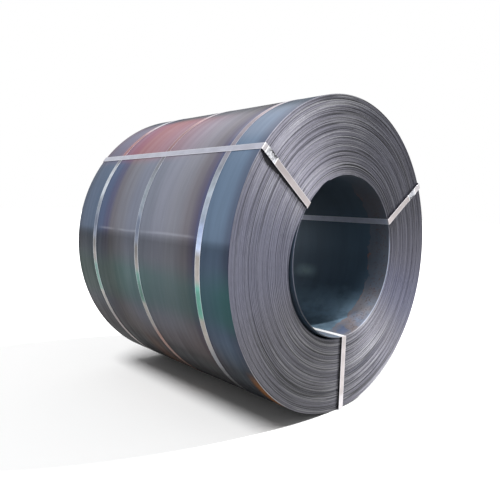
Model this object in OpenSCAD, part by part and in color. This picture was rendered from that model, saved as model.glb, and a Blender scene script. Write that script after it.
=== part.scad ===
// Steel coil: hot rolled strip wound round an open eye and bound with flat steel strapping.
// Sizes are in millimetres. The coil lies on its side with its axis along Y.
// The origin is the middle of the eye, at mid width, and the front face looks along -Y.
// Shapes are drawn upright, with the coil's axis along Z and the front face up, and laid down at the end.

/* [Coil] */

// Diameter of the eye inside the first turn
eye_diameter = 610; // [500:10:700]

// Outside diameter of the wound coil
coil_diameter = 1180; // [900:10:1600]

// Width of the strip, which is the length of the coil
strip_width = 1000; // [800:10:1500]

// Thickness of the strip
strip_thickness = 3; // [2:0.5:8]

// Furthest that a turn stands out of or behind the nominal end face
edge_wander = 5; // [0.5:0.5:8]

/* [Loose inner turn] */

// Radial opening behind the loose first turn, at its widest
loose_gap = 16; // [8:1:22]

// How far the opening reaches in from the front face
loose_depth = 70; // [20:5:150]

// Direction in which the first turn hangs loose, in degrees from +X towards +Z
loose_direction = 213; // [180:1:250]

/* [Strapping] */

// Width of every strap
strap_width = 25; // [19:1:40]

// Thickness of every strap
strap_thickness = 0.8; // [0.6:0.1:1]

// Inside radius of a bend where a strap turns over the edge of the coil
bend_radius = 2.5; // [1.2:0.1:3]

// Play between a strap and the steel it lies on
strap_play = 0.2; // [0.1:0.05:0.3]

/* [Places of the straps] */

// Distance from the front face to the middle of the front band
front_band_inset = 152; // [100:1:250]

// Distance from the back face to the middle of the back band
back_band_inset = 154; // [100:1:250]

// How far the middle band lies behind mid width
middle_band_shift = 18; // [-60:1:60]

// Direction of the left eye strap
left_strap_angle = 142; // [125:0.5:155]

// Direction of the right eye strap where it crosses the rim
right_strap_angle = 29.5; // [20:0.5:40]

// How far the right eye strap slants back towards the level on its way in to the eye
right_strap_slant = 4; // [0:0.5:6]

/* [Seals] */

// Length of a seal along its strap
seal_length = 58; // [45:1:70]

// Wall thickness of a seal
seal_wall = 0.9; // [0.6:0.1:1.2]

// Depth of a crimp notch in the side of a seal
notch_depth = 4; // [2:0.5:6]

// Length of strap that stays doubled on each side of a seal
strap_tail = 14; // [6:1:30]

// Direction in which the band seals sit
band_seal_angle = 62; // [50:1:75]

// Distance from the rim to the middle of the seal on the left eye strap
left_seal_drop = 40; // [36:1:90]

// Distance from the rim to the middle of the seal on the right eye strap
right_seal_drop = 78; // [36:1:90]

// Distance from the rim to the middle of the seal on the bottom eye strap
bottom_seal_drop = 60; // [36:1:90]

/* [Hidden] */

$fn = 96;

// Radii of the coil, and the number of turns wound between them
eye_radius = eye_diameter / 2;
coil_radius = coil_diameter / 2;
turn_count = floor((coil_radius - eye_radius) / strip_thickness);
turn_pitch = (coil_radius - eye_radius) / turn_count;

// Places of the bands along the coil, from mid width towards the front face
front_band_offset = strip_width / 2 - front_band_inset;
middle_band_offset = -middle_band_shift;
back_band_offset = back_band_inset - strip_width / 2;

// The bands are drawn round the coil, and the eye straps pass over them
band_seat = coil_radius + strap_play;
over_band_seat = band_seat + strap_thickness + strap_play;

// The bottom eye strap passes exactly under the axis, so the coil rests flat on it
bottom_strap_angle = 270;

// Direction of the right eye strap where it enters the eye
right_eye_angle = right_strap_angle - right_strap_slant;

// A flat strap touches the round wall of the eye with its two edges
eye_seat = sqrt(pow(eye_radius, 2) - pow(strap_width / 2, 2)) - strap_play;

// Level of an eye strap's inner side where it crosses an end face
face_seat = strip_width / 2 + edge_wander + strap_play;

// Length of the strap leg that leaves a bend
bend_leg = 4;

// Seals clear the doubled strap inside them by the same play
seal_inner_width = strap_width + 2 * strap_play;
seal_outer_width = seal_inner_width + 2 * seal_wall;
seal_inner_height = 2 * strap_thickness + strap_play;
seal_outer_height = seal_inner_height + seal_wall;
doubled_length = seal_length + 2 * strap_tail;

// The opening behind the loose turn is a crescent between the turn itself and a larger, shifted circle.
// Its far side ends halfway across a turn, so that it never just touches the step between two turns.
loose_turn_radius = eye_radius + turn_pitch;
opening_reach = eye_radius + (round(loose_gap / turn_pitch) + 1.5) * turn_pitch;
opening_near_side = eye_radius - 45;

// How far a cutting shape reaches past what it cuts
beyond = 10;

// Colours of the bare strip and of the zinc coated strapping
strip_colour = [0.34, 0.35, 0.38];
strap_colour = [0.72, 0.72, 0.73];

// Parts

// Axial shift of one turn: a slow wander, a finer one, and now and then a turn that sits well back.
// The first turn is not shifted, so the eye keeps the full strip width.
function turn_shift(turn) =
    turn == 0 ? 0 : edge_wander * (0.45 * sin(turn * 17) + 0.3 * sin(turn * 71) + (turn % 9 == 4 ? -0.25 : 0.25));

// Radius at which a turn begins
function turn_radius(turn) = eye_radius + turn * turn_pitch;

// Lays a shape that was drawn upright down on its side, with its top end to the front
module laid_down() {
    rotate([90, 0, 0]) children();
}

// Half of the coil's lengthwise section: every turn is a bar as long as the strip is wide
module coil_section() {
    back_edge = [for (turn = [0 : turn_count - 1], side = [0, 1])
        [turn_radius(turn + side), turn_shift(turn) - strip_width / 2]];
    front_edge = [for (turn = [turn_count - 1 : -1 : 0], side = [1, 0])
        [turn_radius(turn + side), turn_shift(turn) + strip_width / 2]];
    polygon(concat(back_edge, front_edge));
}

// The gap that opens behind the first turn where it has sprung away from the others
module loose_opening() {
    translate([0, 0, strip_width / 2 - loose_depth])
        linear_extrude(height = loose_depth + beyond)
            difference() {
                rotate(loose_direction)
                    translate([(opening_reach - opening_near_side) / 2, 0])
                        circle(r = (opening_reach + opening_near_side) / 2);
                circle(r = loose_turn_radius);
            }
}

// The wound coil, turned as one solid, with every turn showing on both ends
module coil() {
    color(strip_colour)
        laid_down()
            difference() {
                rotate_extrude() coil_section();
                loose_opening();
            }
}

// A strap drawn round the outside of the coil, doubled where its ends overlap under the seal
module band(offset) {
    overlap_angle = doubled_length / coil_radius * 180 / PI;
    color(strap_colour)
        laid_down()
            translate([0, 0, offset - strap_width / 2]) {
                rotate_extrude()
                    translate([band_seat, 0])
                        square([strap_thickness, strap_width]);
                rotate_extrude(angle = overlap_angle, start = band_seal_angle - overlap_angle / 2)
                    translate([band_seat, 0])
                        square([2 * strap_thickness, strap_width]);
            }
}

// Outline of a strap that runs along the coil and turns over both of its ends.
// It is drawn with the run to the right, and its inner side lies on the line x = 0.
module hairpin_outline() {
    inner_top = face_seat;
    bend_x = -bend_radius;
    bend_y = inner_top - bend_radius;
    translate([0, -bend_y]) square([strap_thickness, 2 * bend_y]);
    for (end = [0, 1])
        mirror([0, end]) {
            translate([bend_x - bend_leg, inner_top]) square([bend_leg, strap_thickness]);
            intersection() {
                translate([bend_x, bend_y])
                    difference() {
                        circle(r = bend_radius + strap_thickness);
                        circle(r = bend_radius);
                    }
                translate([bend_x, bend_y]) square([beyond, beyond]);
            }
        }
}

// A strap laid along the coil at one radius, as wide as the strapping
module hairpin(angle, seat, outwards) {
    rotate([0, 0, angle])
        translate([seat, 0, 0])
            mirror([outwards ? 0 : 1, 0, 0])
                rotate([90, 0, 0])
                    linear_extrude(height = strap_width, center = true)
                        hairpin_outline();
}

// Corners of the strap's edge across an end face, at one radius and one direction
function strap_corner(radius, angle, side) =
    [radius * cos(angle) - side * strap_width / 2 * sin(angle),
     radius * sin(angle) + side * strap_width / 2 * cos(angle)];

// The piece of strap that crosses an end face between the rim and the eye
module face_run(rim_angle, eye_angle) {
    rim_radius = over_band_seat - bend_radius - bend_leg / 2;
    inner_radius = eye_seat + bend_radius + bend_leg / 2;
    linear_extrude(height = strap_thickness)
        polygon([strap_corner(rim_radius, rim_angle, -1), strap_corner(rim_radius, rim_angle, 1),
                 strap_corner(inner_radius, eye_angle, 1), strap_corner(inner_radius, eye_angle, -1)]);
}

// Places something on the front end face, or on the back one, where its own top looks outwards
module on_end(front) {
    mirror([0, 0, front ? 0 : 1]) translate([0, 0, face_seat]) children();
}

// Turns a frame so that its x axis runs down the strap from the rim, and moves it to a distance along it
module along_face_run(rim_angle, eye_angle, distance) {
    rim_corner = [coil_radius * cos(rim_angle), coil_radius * sin(rim_angle)];
    eye_corner = [eye_radius * cos(eye_angle), eye_radius * sin(eye_angle)];
    heading = atan2(eye_corner[1] - rim_corner[1], eye_corner[0] - rim_corner[0]);
    translate(rim_corner) rotate(heading) translate([distance, 0, 0]) children();
}

// A strap threaded through the eye and closed over the outside of the coil
module eye_strap(rim_angle, eye_angle, seal_in_front, seal_drop) {
    color(strap_colour)
        laid_down() {
            hairpin(rim_angle, over_band_seat, true);
            hairpin(eye_angle, eye_seat, false);
            for (front = [true, false])
                on_end(front) face_run(rim_angle, eye_angle);
            on_end(seal_in_front)
                along_face_run(rim_angle, eye_angle, seal_drop)
                    translate([-doubled_length / 2 + strap_tail, -strap_width / 2, 0])
                        cube([doubled_length - strap_tail, strap_width, 2 * strap_thickness]);
        }
}

// Section of a seal: a cap over the doubled strap, open towards the coil
module seal_section() {
    difference() {
        translate([0, -seal_outer_width / 2]) square([seal_outer_height, seal_outer_width]);
        translate([-1, -seal_inner_width / 2]) square([seal_inner_height + 1, seal_inner_width]);
    }
}

// One seal, drawn along the x axis over a strap on the ground, with two crimp notches in each side
module seal() {
    difference() {
        rotate([0, -90, 0])
            linear_extrude(height = seal_length, center = true) seal_section();
        for (place = [-1, 1], side = [-1, 1])
            translate([place * seal_length / 5, side * seal_outer_width / 2, 0])
                rotate(45)
                    cube([notch_depth, notch_depth, 4 * seal_outer_height], center = true);
    }
}

// A seal on an eye strap, where the strap crosses an end face
module face_seal(rim_angle, eye_angle, front, seal_drop) {
    color(strap_colour)
        laid_down()
            on_end(front)
                along_face_run(rim_angle, eye_angle, seal_drop) seal();
}

// A seal on a band, lying against the round of the coil
module band_seal(offset) {
    color(strap_colour)
        laid_down()
            rotate([0, 0, band_seal_angle])
                translate([band_seat, 0, offset])
                    rotate([90, 0, 90]) seal();
}

module band_front() { band(front_band_offset); }

module band_middle() { band(middle_band_offset); }

module band_back() { band(back_band_offset); }

module eye_strap_left() { eye_strap(left_strap_angle, left_strap_angle, true, left_seal_drop); }

module eye_strap_right() { eye_strap(right_strap_angle, right_eye_angle, true, right_seal_drop); }

module eye_strap_bottom() { eye_strap(bottom_strap_angle, bottom_strap_angle, false, bottom_seal_drop); }

module seal_left() { face_seal(left_strap_angle, left_strap_angle, true, left_seal_drop); }

module seal_right() { face_seal(right_strap_angle, right_eye_angle, true, right_seal_drop); }

module seal_bottom() { face_seal(bottom_strap_angle, bottom_strap_angle, false, bottom_seal_drop); }

module seal_band_front() { band_seal(front_band_offset); }

module seal_band_middle() { band_seal(middle_band_offset); }

module seal_band_back() { band_seal(back_band_offset); }

coil();
band_front();
band_middle();
band_back();
eye_strap_left();
eye_strap_right();
eye_strap_bottom();
seal_left();
seal_right();
seal_bottom();
seal_band_front();
seal_band_middle();
seal_band_back();
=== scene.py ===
"""A coil of hot rolled steel strip, bound with flat zinc coated strapping.

The coil lies on its side with its axis along Y. Its front face looks along -Y, and +Z is up.
Sizes are in metres and angles in degrees, counted from +X towards +Z as seen from the front.
"""
import logging
import math
from collections.abc import Callable, Sequence
from dataclasses import dataclass
from enum import Enum

import bmesh
import bpy
from mathutils import Matrix, Vector, noise


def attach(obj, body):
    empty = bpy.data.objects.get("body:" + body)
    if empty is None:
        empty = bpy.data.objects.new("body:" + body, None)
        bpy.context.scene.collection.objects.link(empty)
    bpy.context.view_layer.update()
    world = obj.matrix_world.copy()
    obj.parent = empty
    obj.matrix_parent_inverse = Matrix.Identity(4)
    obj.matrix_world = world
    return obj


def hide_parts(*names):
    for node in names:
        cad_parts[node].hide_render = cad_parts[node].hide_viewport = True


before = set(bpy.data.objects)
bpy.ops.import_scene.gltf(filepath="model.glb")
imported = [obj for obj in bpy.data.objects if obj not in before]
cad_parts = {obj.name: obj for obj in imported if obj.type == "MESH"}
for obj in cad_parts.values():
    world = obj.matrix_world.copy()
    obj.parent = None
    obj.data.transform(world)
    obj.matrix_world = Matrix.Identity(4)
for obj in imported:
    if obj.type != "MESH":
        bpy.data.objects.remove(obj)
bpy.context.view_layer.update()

log = logging.getLogger("steel coil")


def ink(code: str) -> tuple[float, float, float, float]:
    """Turns a display colour into the linear colour that a material takes.

    Args:
        code: Six hexadecimal digits, two each for red, green and blue.

    Returns:
        Linear red, green and blue, and an alpha of 1.
    """
    parts = [int(code[i:i + 2], 16) / 255 for i in (0, 2, 4)]
    linear = [p / 12.92 if p <= 0.04045 else ((p + 0.055) / 1.055) ** 2.4 for p in parts]
    return (linear[0], linear[1], linear[2], 1.0)


def around(angle: float, radius: float, along: float) -> Vector:
    """Gives the point at an angle in degrees and a radius round the coil's axis, at a place along Y."""
    turned = math.radians(angle)
    return Vector((radius * math.cos(turned), along, radius * math.sin(turned)))


def smooth_step(low: float, high: float, value: float) -> float:
    """Rises smoothly from 0 at low to 1 at high."""
    share = min(1.0, max(0.0, (value - low) / (high - low)))
    return share * share * (3 - 2 * share)


@dataclass(frozen=True)
class CoilSizes:
    """Main sizes of the wound coil."""

    eye_radius: float = 0.305
    outer_radius: float = 0.590
    width: float = 1.000
    turn: float = 0.003


@dataclass(frozen=True)
class Strapping:
    """Sizes that all the strapping shares."""

    width: float = 0.025
    thickness: float = 0.0008
    edge: float = 0.0032
    bend_radius: float = 0.0025
    seal_length: float = 0.058
    tail: float = 0.014
    ply_gap: float = 0.00002


@dataclass(frozen=True)
class Sheen:
    """A colour over one stretch of the coil, with soft limits round it and along it.

    The four angles say where it sets in, is full, starts to fade and is gone. Each run says between
    which two places along the coil the strength goes from one factor to another.
    """

    colour: str
    strength: float
    angles: tuple[float, float, float, float] = (-2.0, -1.0, 361.0, 362.0)
    runs: tuple[tuple[float, float, float, float], ...] = ()
    style: str = "MIX"


PAST_FRONT_BAND = (-0.20, -0.10, 0.0, 1.0)


class Signal:
    """A number, vector or colour on its way through a node tree. Arithmetic on it adds nodes."""

    def __init__(self, graph: "Graph", socket: bpy.types.NodeSocket) -> None:
        """Wraps one output socket of a tree."""
        self.graph = graph
        self.socket = socket

    def __add__(self, other: "Feed") -> "Signal":
        """Adds a number or signal."""
        return self.graph.math("ADD", self, other)

    def __radd__(self, other: float) -> "Signal":
        """Adds this signal to a number."""
        return self.graph.math("ADD", other, self)

    def __sub__(self, other: "Feed") -> "Signal":
        """Takes a number or signal away."""
        return self.graph.math("SUBTRACT", self, other)

    def __rsub__(self, other: float) -> "Signal":
        """Takes this signal away from a number."""
        return self.graph.math("SUBTRACT", other, self)

    def __mul__(self, other: "Feed") -> "Signal":
        """Multiplies by a number or signal."""
        return self.graph.math("MULTIPLY", self, other)

    def __truediv__(self, other: "Feed") -> "Signal":
        """Divides by a number or signal."""
        return self.graph.math("DIVIDE", self, other)


Feed = Signal | float | int | tuple | None


class Graph:
    """Adds nodes to one shader tree or geometry tree and joins them up."""

    def __init__(self, tree: bpy.types.NodeTree) -> None:
        """Takes the tree that the nodes go into."""
        self.tree = tree

    def node(self, kind: str, feeds: dict[str | int, Feed] | None = None,
             **settings: object) -> bpy.types.Node:
        """Adds one node, sets it up and feeds its inputs.

        Args:
            kind: Blender's type name of the node.
            feeds: What goes into each input, by the input's name or number.
            **settings: Properties of the node.

        Returns:
            The new node.
        """
        made = self.tree.nodes.new(kind)
        for name, value in settings.items():
            setattr(made, name, value)
        for name, value in (feeds or {}).items():
            self.feed(made.inputs[name], value)
        return made

    def feed(self, socket: bpy.types.NodeSocket, value: Feed) -> None:
        """Links a signal to an input, or sets the input to a plain value.

        Args:
            socket: The input.
            value: The signal or value, or None to leave the input as it is.
        """
        if isinstance(value, Signal):
            self.tree.links.new(value.socket, socket)
        elif value is not None:
            socket.default_value = value

    def out(self, made: bpy.types.Node, name: str | int = 0) -> Signal:
        """Gives one output of a node as a signal."""
        return Signal(self, made.outputs[name])

    def number(self, value: float) -> Signal:
        """Gives a plain number as a signal.

        Args:
            value: The number.

        Returns:
            The signal.
        """
        made = self.node("ShaderNodeValue")
        made.outputs[0].default_value = value
        return self.out(made)

    def attribute(self, name: str) -> Signal:
        """Reads a value that the mesh holds, in a material."""
        return self.out(self.node("ShaderNodeAttribute", attribute_name=name), "Fac")

    def math(self, operation: str, *values: Feed) -> Signal:
        """Adds one Math node and gives its result."""
        return self.out(self.node("ShaderNodeMath", dict(enumerate(values)), operation=operation))

    def cosine(self, degrees: Signal) -> Signal:
        """Gives the cosine of an angle in degrees."""
        return self.math("COSINE", degrees * (math.pi / 180))

    def sine(self, degrees: Signal) -> Signal:
        """Gives the sine of an angle in degrees."""
        return self.math("SINE", degrees * (math.pi / 180))

    def ramp(self, value: Feed, low: Feed, high: Feed, start: Feed = 0.0, end: Feed = 1.0,
             style: str = "SMOOTHSTEP") -> Signal:
        """Maps a number from one range to another and holds it inside.

        Args:
            value: The number.
            low: Where the first range starts.
            high: Where the first range ends.
            start: Result at low.
            end: Result at high.
            style: LINEAR or SMOOTHSTEP.

        Returns:
            The mapped number.
        """
        made = self.node("ShaderNodeMapRange", {0: value, 1: low, 2: high, 3: start, 4: end},
                         interpolation_type=style)
        return self.out(made)

    def window(self, value: Signal, low: float, high: float, soft: float) -> Signal:
        """Gives 1 between low and high and 0 outside, with soft flanks."""
        return self.ramp(value, low - soft, low + soft) * self.ramp(value, high - soft, high + soft, 1.0, 0.0)

    def vector(self, x: Feed = 0.0, y: Feed = 0.0, z: Feed = 0.0) -> Signal:
        """Joins three numbers into a vector."""
        return self.out(self.node("ShaderNodeCombineXYZ", {0: x, 1: y, 2: z}))

    def split(self, value: Signal) -> tuple[Signal, Signal, Signal]:
        """Takes a vector apart into its three numbers."""
        made = self.node("ShaderNodeSeparateXYZ", {0: value})
        return self.out(made, 0), self.out(made, 1), self.out(made, 2)

    def noise(self, place: Signal, scale: float, detail: float = 2.0, roughness: float = 0.5) -> Signal:
        """Gives cloudy noise over a vector.

        Args:
            place: The vector.
            scale: Clouds to a unit.
            detail: How many finer layers are laid over it.
            roughness: How strong the finer layers are.

        Returns:
            The noise, from 0 to 1.
        """
        made = self.node("ShaderNodeTexNoise", {"Vector": place, "Scale": scale, "Detail": detail,
                                                "Roughness": roughness}, noise_dimensions="3D")
        return self.out(made, 0)

    def line_noise(self, place: Feed, scale: float = 1.0, detail: float = 0.0) -> Signal:
        """Gives noise along a single number.

        Args:
            place: The number.
            scale: Waves to a unit.
            detail: How many finer layers are laid over it.

        Returns:
            The noise, from 0 to 1.
        """
        made = self.node("ShaderNodeTexNoise", {"W": place, "Scale": scale, "Detail": detail,
                                                "Roughness": 0.5}, noise_dimensions="1D")
        return self.out(made, 0)

    def blend(self, share: Feed, first: Feed, second: Feed, style: str = "MIX") -> Signal:
        """Mixes two colours.

        Args:
            share: How much of the second colour shows, from 0 to 1.
            first: The colour below.
            second: The colour on top.
            style: How the second is laid over the first, such as MIX or MULTIPLY.

        Returns:
            The mixed colour.
        """
        made = self.node("ShaderNodeMix", {0: share, 6: first, 7: second}, data_type="RGBA", blend_type=style,
                         clamp_factor=True)
        return self.out(made, 2)

    def gradient(self, value: Signal, stops: Sequence[tuple[float, str]], style: str = "EASE") -> Signal:
        """Runs a number from 0 to 1 through a row of display colours.

        Args:
            value: The number.
            stops: Places from 0 to 1, each with its colour.
            style: How the colours run into each other, such as EASE or LINEAR.

        Returns:
            The colour.
        """
        return self._colour_ramp(value, [(place, ink(code)) for place, code in stops], style)

    def levels(self, value: Signal, stops: Sequence[tuple[float, float]], span: float) -> Signal:
        """Runs a number from 0 to 1 through a row of plain levels.

        Args:
            value: The number.
            stops: Places from 0 to the span, each with its level.
            span: The place that stands for 1.

        Returns:
            The level.
        """
        greys = [(place / span, (level, level, level, 1.0)) for place, level in stops]
        return self._colour_ramp(value, greys, "LINEAR")

    def _colour_ramp(self, value: Signal, stops: Sequence[tuple[float, tuple[float, float, float, float]]],
                     style: str) -> Signal:
        """Adds a Color Ramp node.

        Args:
            value: The number that goes in.
            stops: Places from 0 to 1, each with its linear colour.
            style: The node's interpolation.

        Returns:
            The colour that comes out.
        """
        made = self.node("ShaderNodeValToRGB", {0: value})
        colours = made.color_ramp
        colours.interpolation = style
        for place, _ in stops[2:]:
            colours.elements.new(place)
        for element, (place, colour) in zip(colours.elements, stops):
            element.position = place
            element.color = colour
        return self.out(made)


def new_group(name: str, inputs: Sequence[tuple[str, str, object]], outputs: Sequence[tuple[str, str]],
              kind: str = "ShaderNodeTree") -> tuple[Graph, bpy.types.Node, bpy.types.Node]:
    """Starts a node group with named inputs and outputs.

    Args:
        name: What the group is called.
        inputs: Name, socket type and default of each input.
        outputs: Name and socket type of each output.
        kind: The type of tree.

    Returns:
        The graph, its input node and its output node.
    """
    tree = bpy.data.node_groups.new(name, kind)
    for label, socket_type, value in inputs:
        socket = tree.interface.new_socket(name=label, in_out="INPUT", socket_type=socket_type)
        if value is not None:
            socket.default_value = value
    for label, socket_type in outputs:
        tree.interface.new_socket(name=label, in_out="OUTPUT", socket_type=socket_type)
    graph = Graph(tree)
    return graph, graph.node("NodeGroupInput"), graph.node("NodeGroupOutput")


class SharedEffects:
    """Shader node groups that several finishes use, each built once."""

    def __init__(self) -> None:
        """Builds all the groups."""
        self.polar = self._polar()
        self.streaks = self._streaks()
        self.scuffs = self._scuffs()

    @staticmethod
    def _polar() -> bpy.types.NodeTree:
        """Builds the group that reads a place as radius, angle in degrees and distance along the coil.

        The folded angle runs up to 277 degrees and back to 97, so that noise over it has no seam.

        Returns:
            The group.
        """
        graph, entry, leave = new_group("coil coordinates", [("Place", "NodeSocketVector", None)],
                                        [("Radius", "NodeSocketFloat"), ("Angle", "NodeSocketFloat"),
                                         ("Folded", "NodeSocketFloat"), ("Along", "NodeSocketFloat")])
        x, y, z = graph.split(graph.out(entry, "Place"))
        radius = graph.math("SQRT", x * x + z * z)
        angle = graph.math("ARCTAN2", z, x) * (180 / math.pi)
        graph.feed(leave.inputs["Radius"], radius)
        graph.feed(leave.inputs["Angle"], graph.math("FLOORED_MODULO", angle + 360.0, 360.0))
        graph.feed(leave.inputs["Folded"], graph.math("PINGPONG", angle + 263.0, 180.0) + 97.0)
        graph.feed(leave.inputs["Along"], y)
        return graph.tree

    @staticmethod
    def _streaks() -> bpy.types.NodeTree:
        """Builds the group for fine streaks that run round the coil, as rolling leaves them.

        Returns:
            The group.
        """
        graph, entry, leave = new_group(
            "rolling streaks",
            [("Angle", "NodeSocketFloat", 0.0), ("Along", "NodeSocketFloat", 0.0),
             ("Fineness", "NodeSocketFloat", 60.0), ("Length", "NodeSocketFloat", 25.0)],
            [("Streaks", "NodeSocketFloat")])
        across = graph.out(entry, "Along") * graph.out(entry, "Fineness")
        lengthwise = graph.out(entry, "Angle") / graph.out(entry, "Length")
        place = graph.vector(lengthwise, across, 0.0)
        graph.feed(leave.inputs["Streaks"], graph.noise(place, 1.0, 4.0, 0.65))
        return graph.tree

    @staticmethod
    def _scuffs() -> bpy.types.NodeTree:
        """Builds the group for scattered light scuffs and specks.

        Returns:
            The group.
        """
        graph, entry, leave = new_group(
            "scuffs",
            [("Place", "NodeSocketVector", None), ("Scale", "NodeSocketFloat", 12.0),
             ("Amount", "NodeSocketFloat", 0.35)],
            [("Scuffs", "NodeSocketFloat")])
        made = graph.node("ShaderNodeTexNoise", {"Vector": graph.out(entry, "Place"),
                                                 "Scale": graph.out(entry, "Scale"), "Detail": 5.0,
                                                 "Roughness": 0.7, "Distortion": 0.6}, noise_dimensions="3D")
        level = 0.78 - graph.out(entry, "Amount") * 0.3
        graph.feed(leave.inputs["Scuffs"], graph.ramp(graph.out(made), level, level + 0.12))
        return graph.tree


class Finish:
    """Common start of every finish: a material with a Principled shader and the coil's coordinates."""

    def __init__(self, name: str, effects: SharedEffects) -> None:
        """Makes the material and reads the place on the coil.

        Args:
            name: What the material is called.
            effects: The shared node groups.
        """
        self.effects = effects
        self.material = bpy.data.materials.new(name)
        self.material.use_nodes = True
        self.graph = Graph(self.material.node_tree)
        self.graph.tree.nodes.clear()
        self.place = self.graph.out(self.graph.node("ShaderNodeTexCoord"), "Object")
        self.across, _, self.upward = self.graph.split(self.place)
        polar = self.graph.node("ShaderNodeGroup", node_tree=effects.polar)
        self.graph.feed(polar.inputs["Place"], self.place)
        self.radius = self.graph.out(polar, "Radius")
        self.angle = self.graph.out(polar, "Angle")
        self.folded = self.graph.out(polar, "Folded")
        self.along = self.graph.out(polar, "Along")

    def streaks(self, fineness: float, length: float) -> Signal:
        """Places the rolling streaks.

        Args:
            fineness: Streaks to a metre along the coil.
            length: Length of a streak round the coil, in degrees.

        Returns:
            The streaks, from 0 to 1.
        """
        made = self.graph.node("ShaderNodeGroup", node_tree=self.effects.streaks)
        for name, value in (("Angle", self.folded), ("Along", self.along), ("Fineness", fineness),
                            ("Length", length)):
            self.graph.feed(made.inputs[name], value)
        return self.graph.out(made, "Streaks")

    def scuffs(self, scale: float, amount: float) -> Signal:
        """Places the scattered scuffs.

        Args:
            scale: Scuffs to a metre.
            amount: How much they cover, from 0 to 1.

        Returns:
            The scuffs, from 0 to 1.
        """
        made = self.graph.node("ShaderNodeGroup", node_tree=self.effects.scuffs)
        for name, value in (("Place", self.place), ("Scale", scale), ("Amount", amount)):
            self.graph.feed(made.inputs[name], value)
        return self.graph.out(made, "Scuffs")

    def clouds(self, length: float, fineness: float, offset: float, detail: float,
               roughness: float = 0.5) -> Signal:
        """Gives noise from 0 to 1 that is drawn out round the coil.

        Args:
            length: Length of a cloud round the coil, in degrees.
            fineness: Clouds to a metre along the coil.
            offset: Shift that makes two such noises differ.
            detail: How many finer layers are laid over it.
            roughness: How strong the finer layers are.

        Returns:
            The noise.
        """
        place = self.graph.vector(self.folded / length, self.along * fineness, offset)
        return self.graph.noise(place, 1.0, detail, roughness)

    def levels_round(self, stops: Sequence[tuple[float, float]]) -> Signal:
        """Gives a level that changes round the coil, from angles in degrees with their levels."""
        return self.graph.levels(self.angle / 360.0, stops, 360.0)

    def facing(self, direction: float, low: float, high: float) -> Signal:
        """Rises from 0 to 1 towards a direction in degrees, between two cosines of the angle to it."""
        return self.graph.ramp(self.graph.cosine(self.angle - direction), low, high)

    def lay(self, colour: Feed, sheens: Sequence[Sheen], angle: Signal | None = None, patchy: Feed = 1.0,
            along: Signal | None = None) -> Signal:
        """Lays sheens over a colour, one after the other.

        Args:
            colour: The colour so far.
            sheens: The sheens, from the lowest up.
            angle: The angle round the coil, where it isn't the plain one.
            patchy: A factor from 0 to 1 on their strength.
            along: The place along the coil, where it isn't the plain one.

        Returns:
            The colour on top.
        """
        graph = self.graph
        angle, along = angle or self.angle, along or self.along
        for sheen in sheens:
            start, full, fading, gone = sheen.angles
            share = graph.ramp(angle, start, full) * graph.ramp(angle, fading, gone, sheen.strength, 0.0)
            for low, high, first, last in sheen.runs:
                share = share * graph.ramp(along, low, high, first, last)
            colour = graph.blend(share * patchy, colour, ink(sheen.colour), sheen.style)
        return colour

    def spangle(self, scale: float, low: float) -> Signal:
        """Gives the cloudy brightness of dulled zinc, from a low level up to 1."""
        return self.graph.ramp(self.graph.noise(self.place, scale, 3.0, 0.6), 0.3, 0.7, low, 1.0)

    def edge_highlight_mask(self) -> Signal:
        """Gives 1 along both edges of a strap and 0 between them, from the mesh's own values, for a painted
        highlight.
        """
        return self.graph.attribute("edge")

    def close(self, colour: Signal, roughness: Feed, metallic: Feed, height: Signal | None = None,
              depth: float = 0.0005, specular: Feed = 0.5) -> bpy.types.Material:
        """Adds the shader and its output.

        Args:
            colour: What feeds Base Color.
            roughness: Roughness, plain or varying.
            metallic: How metallic the surface is, plain or varying.
            height: Height of a bump, if there is one.
            depth: Depth of the bump in metres.
            specular: Level of the reflection on top of the colour, plain or varying.

        Returns:
            The finished material.
        """
        shader = self.graph.node("ShaderNodeBsdfPrincipled",
                                 {"Base Color": colour, "Roughness": roughness, "Metallic": metallic,
                                  "Specular IOR Level": specular})
        if height is not None:
            bump = self.graph.node("ShaderNodeBump", {"Height": height, "Strength": 1.0, "Distance": depth})
            self.graph.feed(shader.inputs["Normal"], self.graph.out(bump))
        leave = self.graph.node("ShaderNodeOutputMaterial")
        self.graph.tree.links.new(shader.outputs[0], leave.inputs["Surface"])
        return self.material


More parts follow.
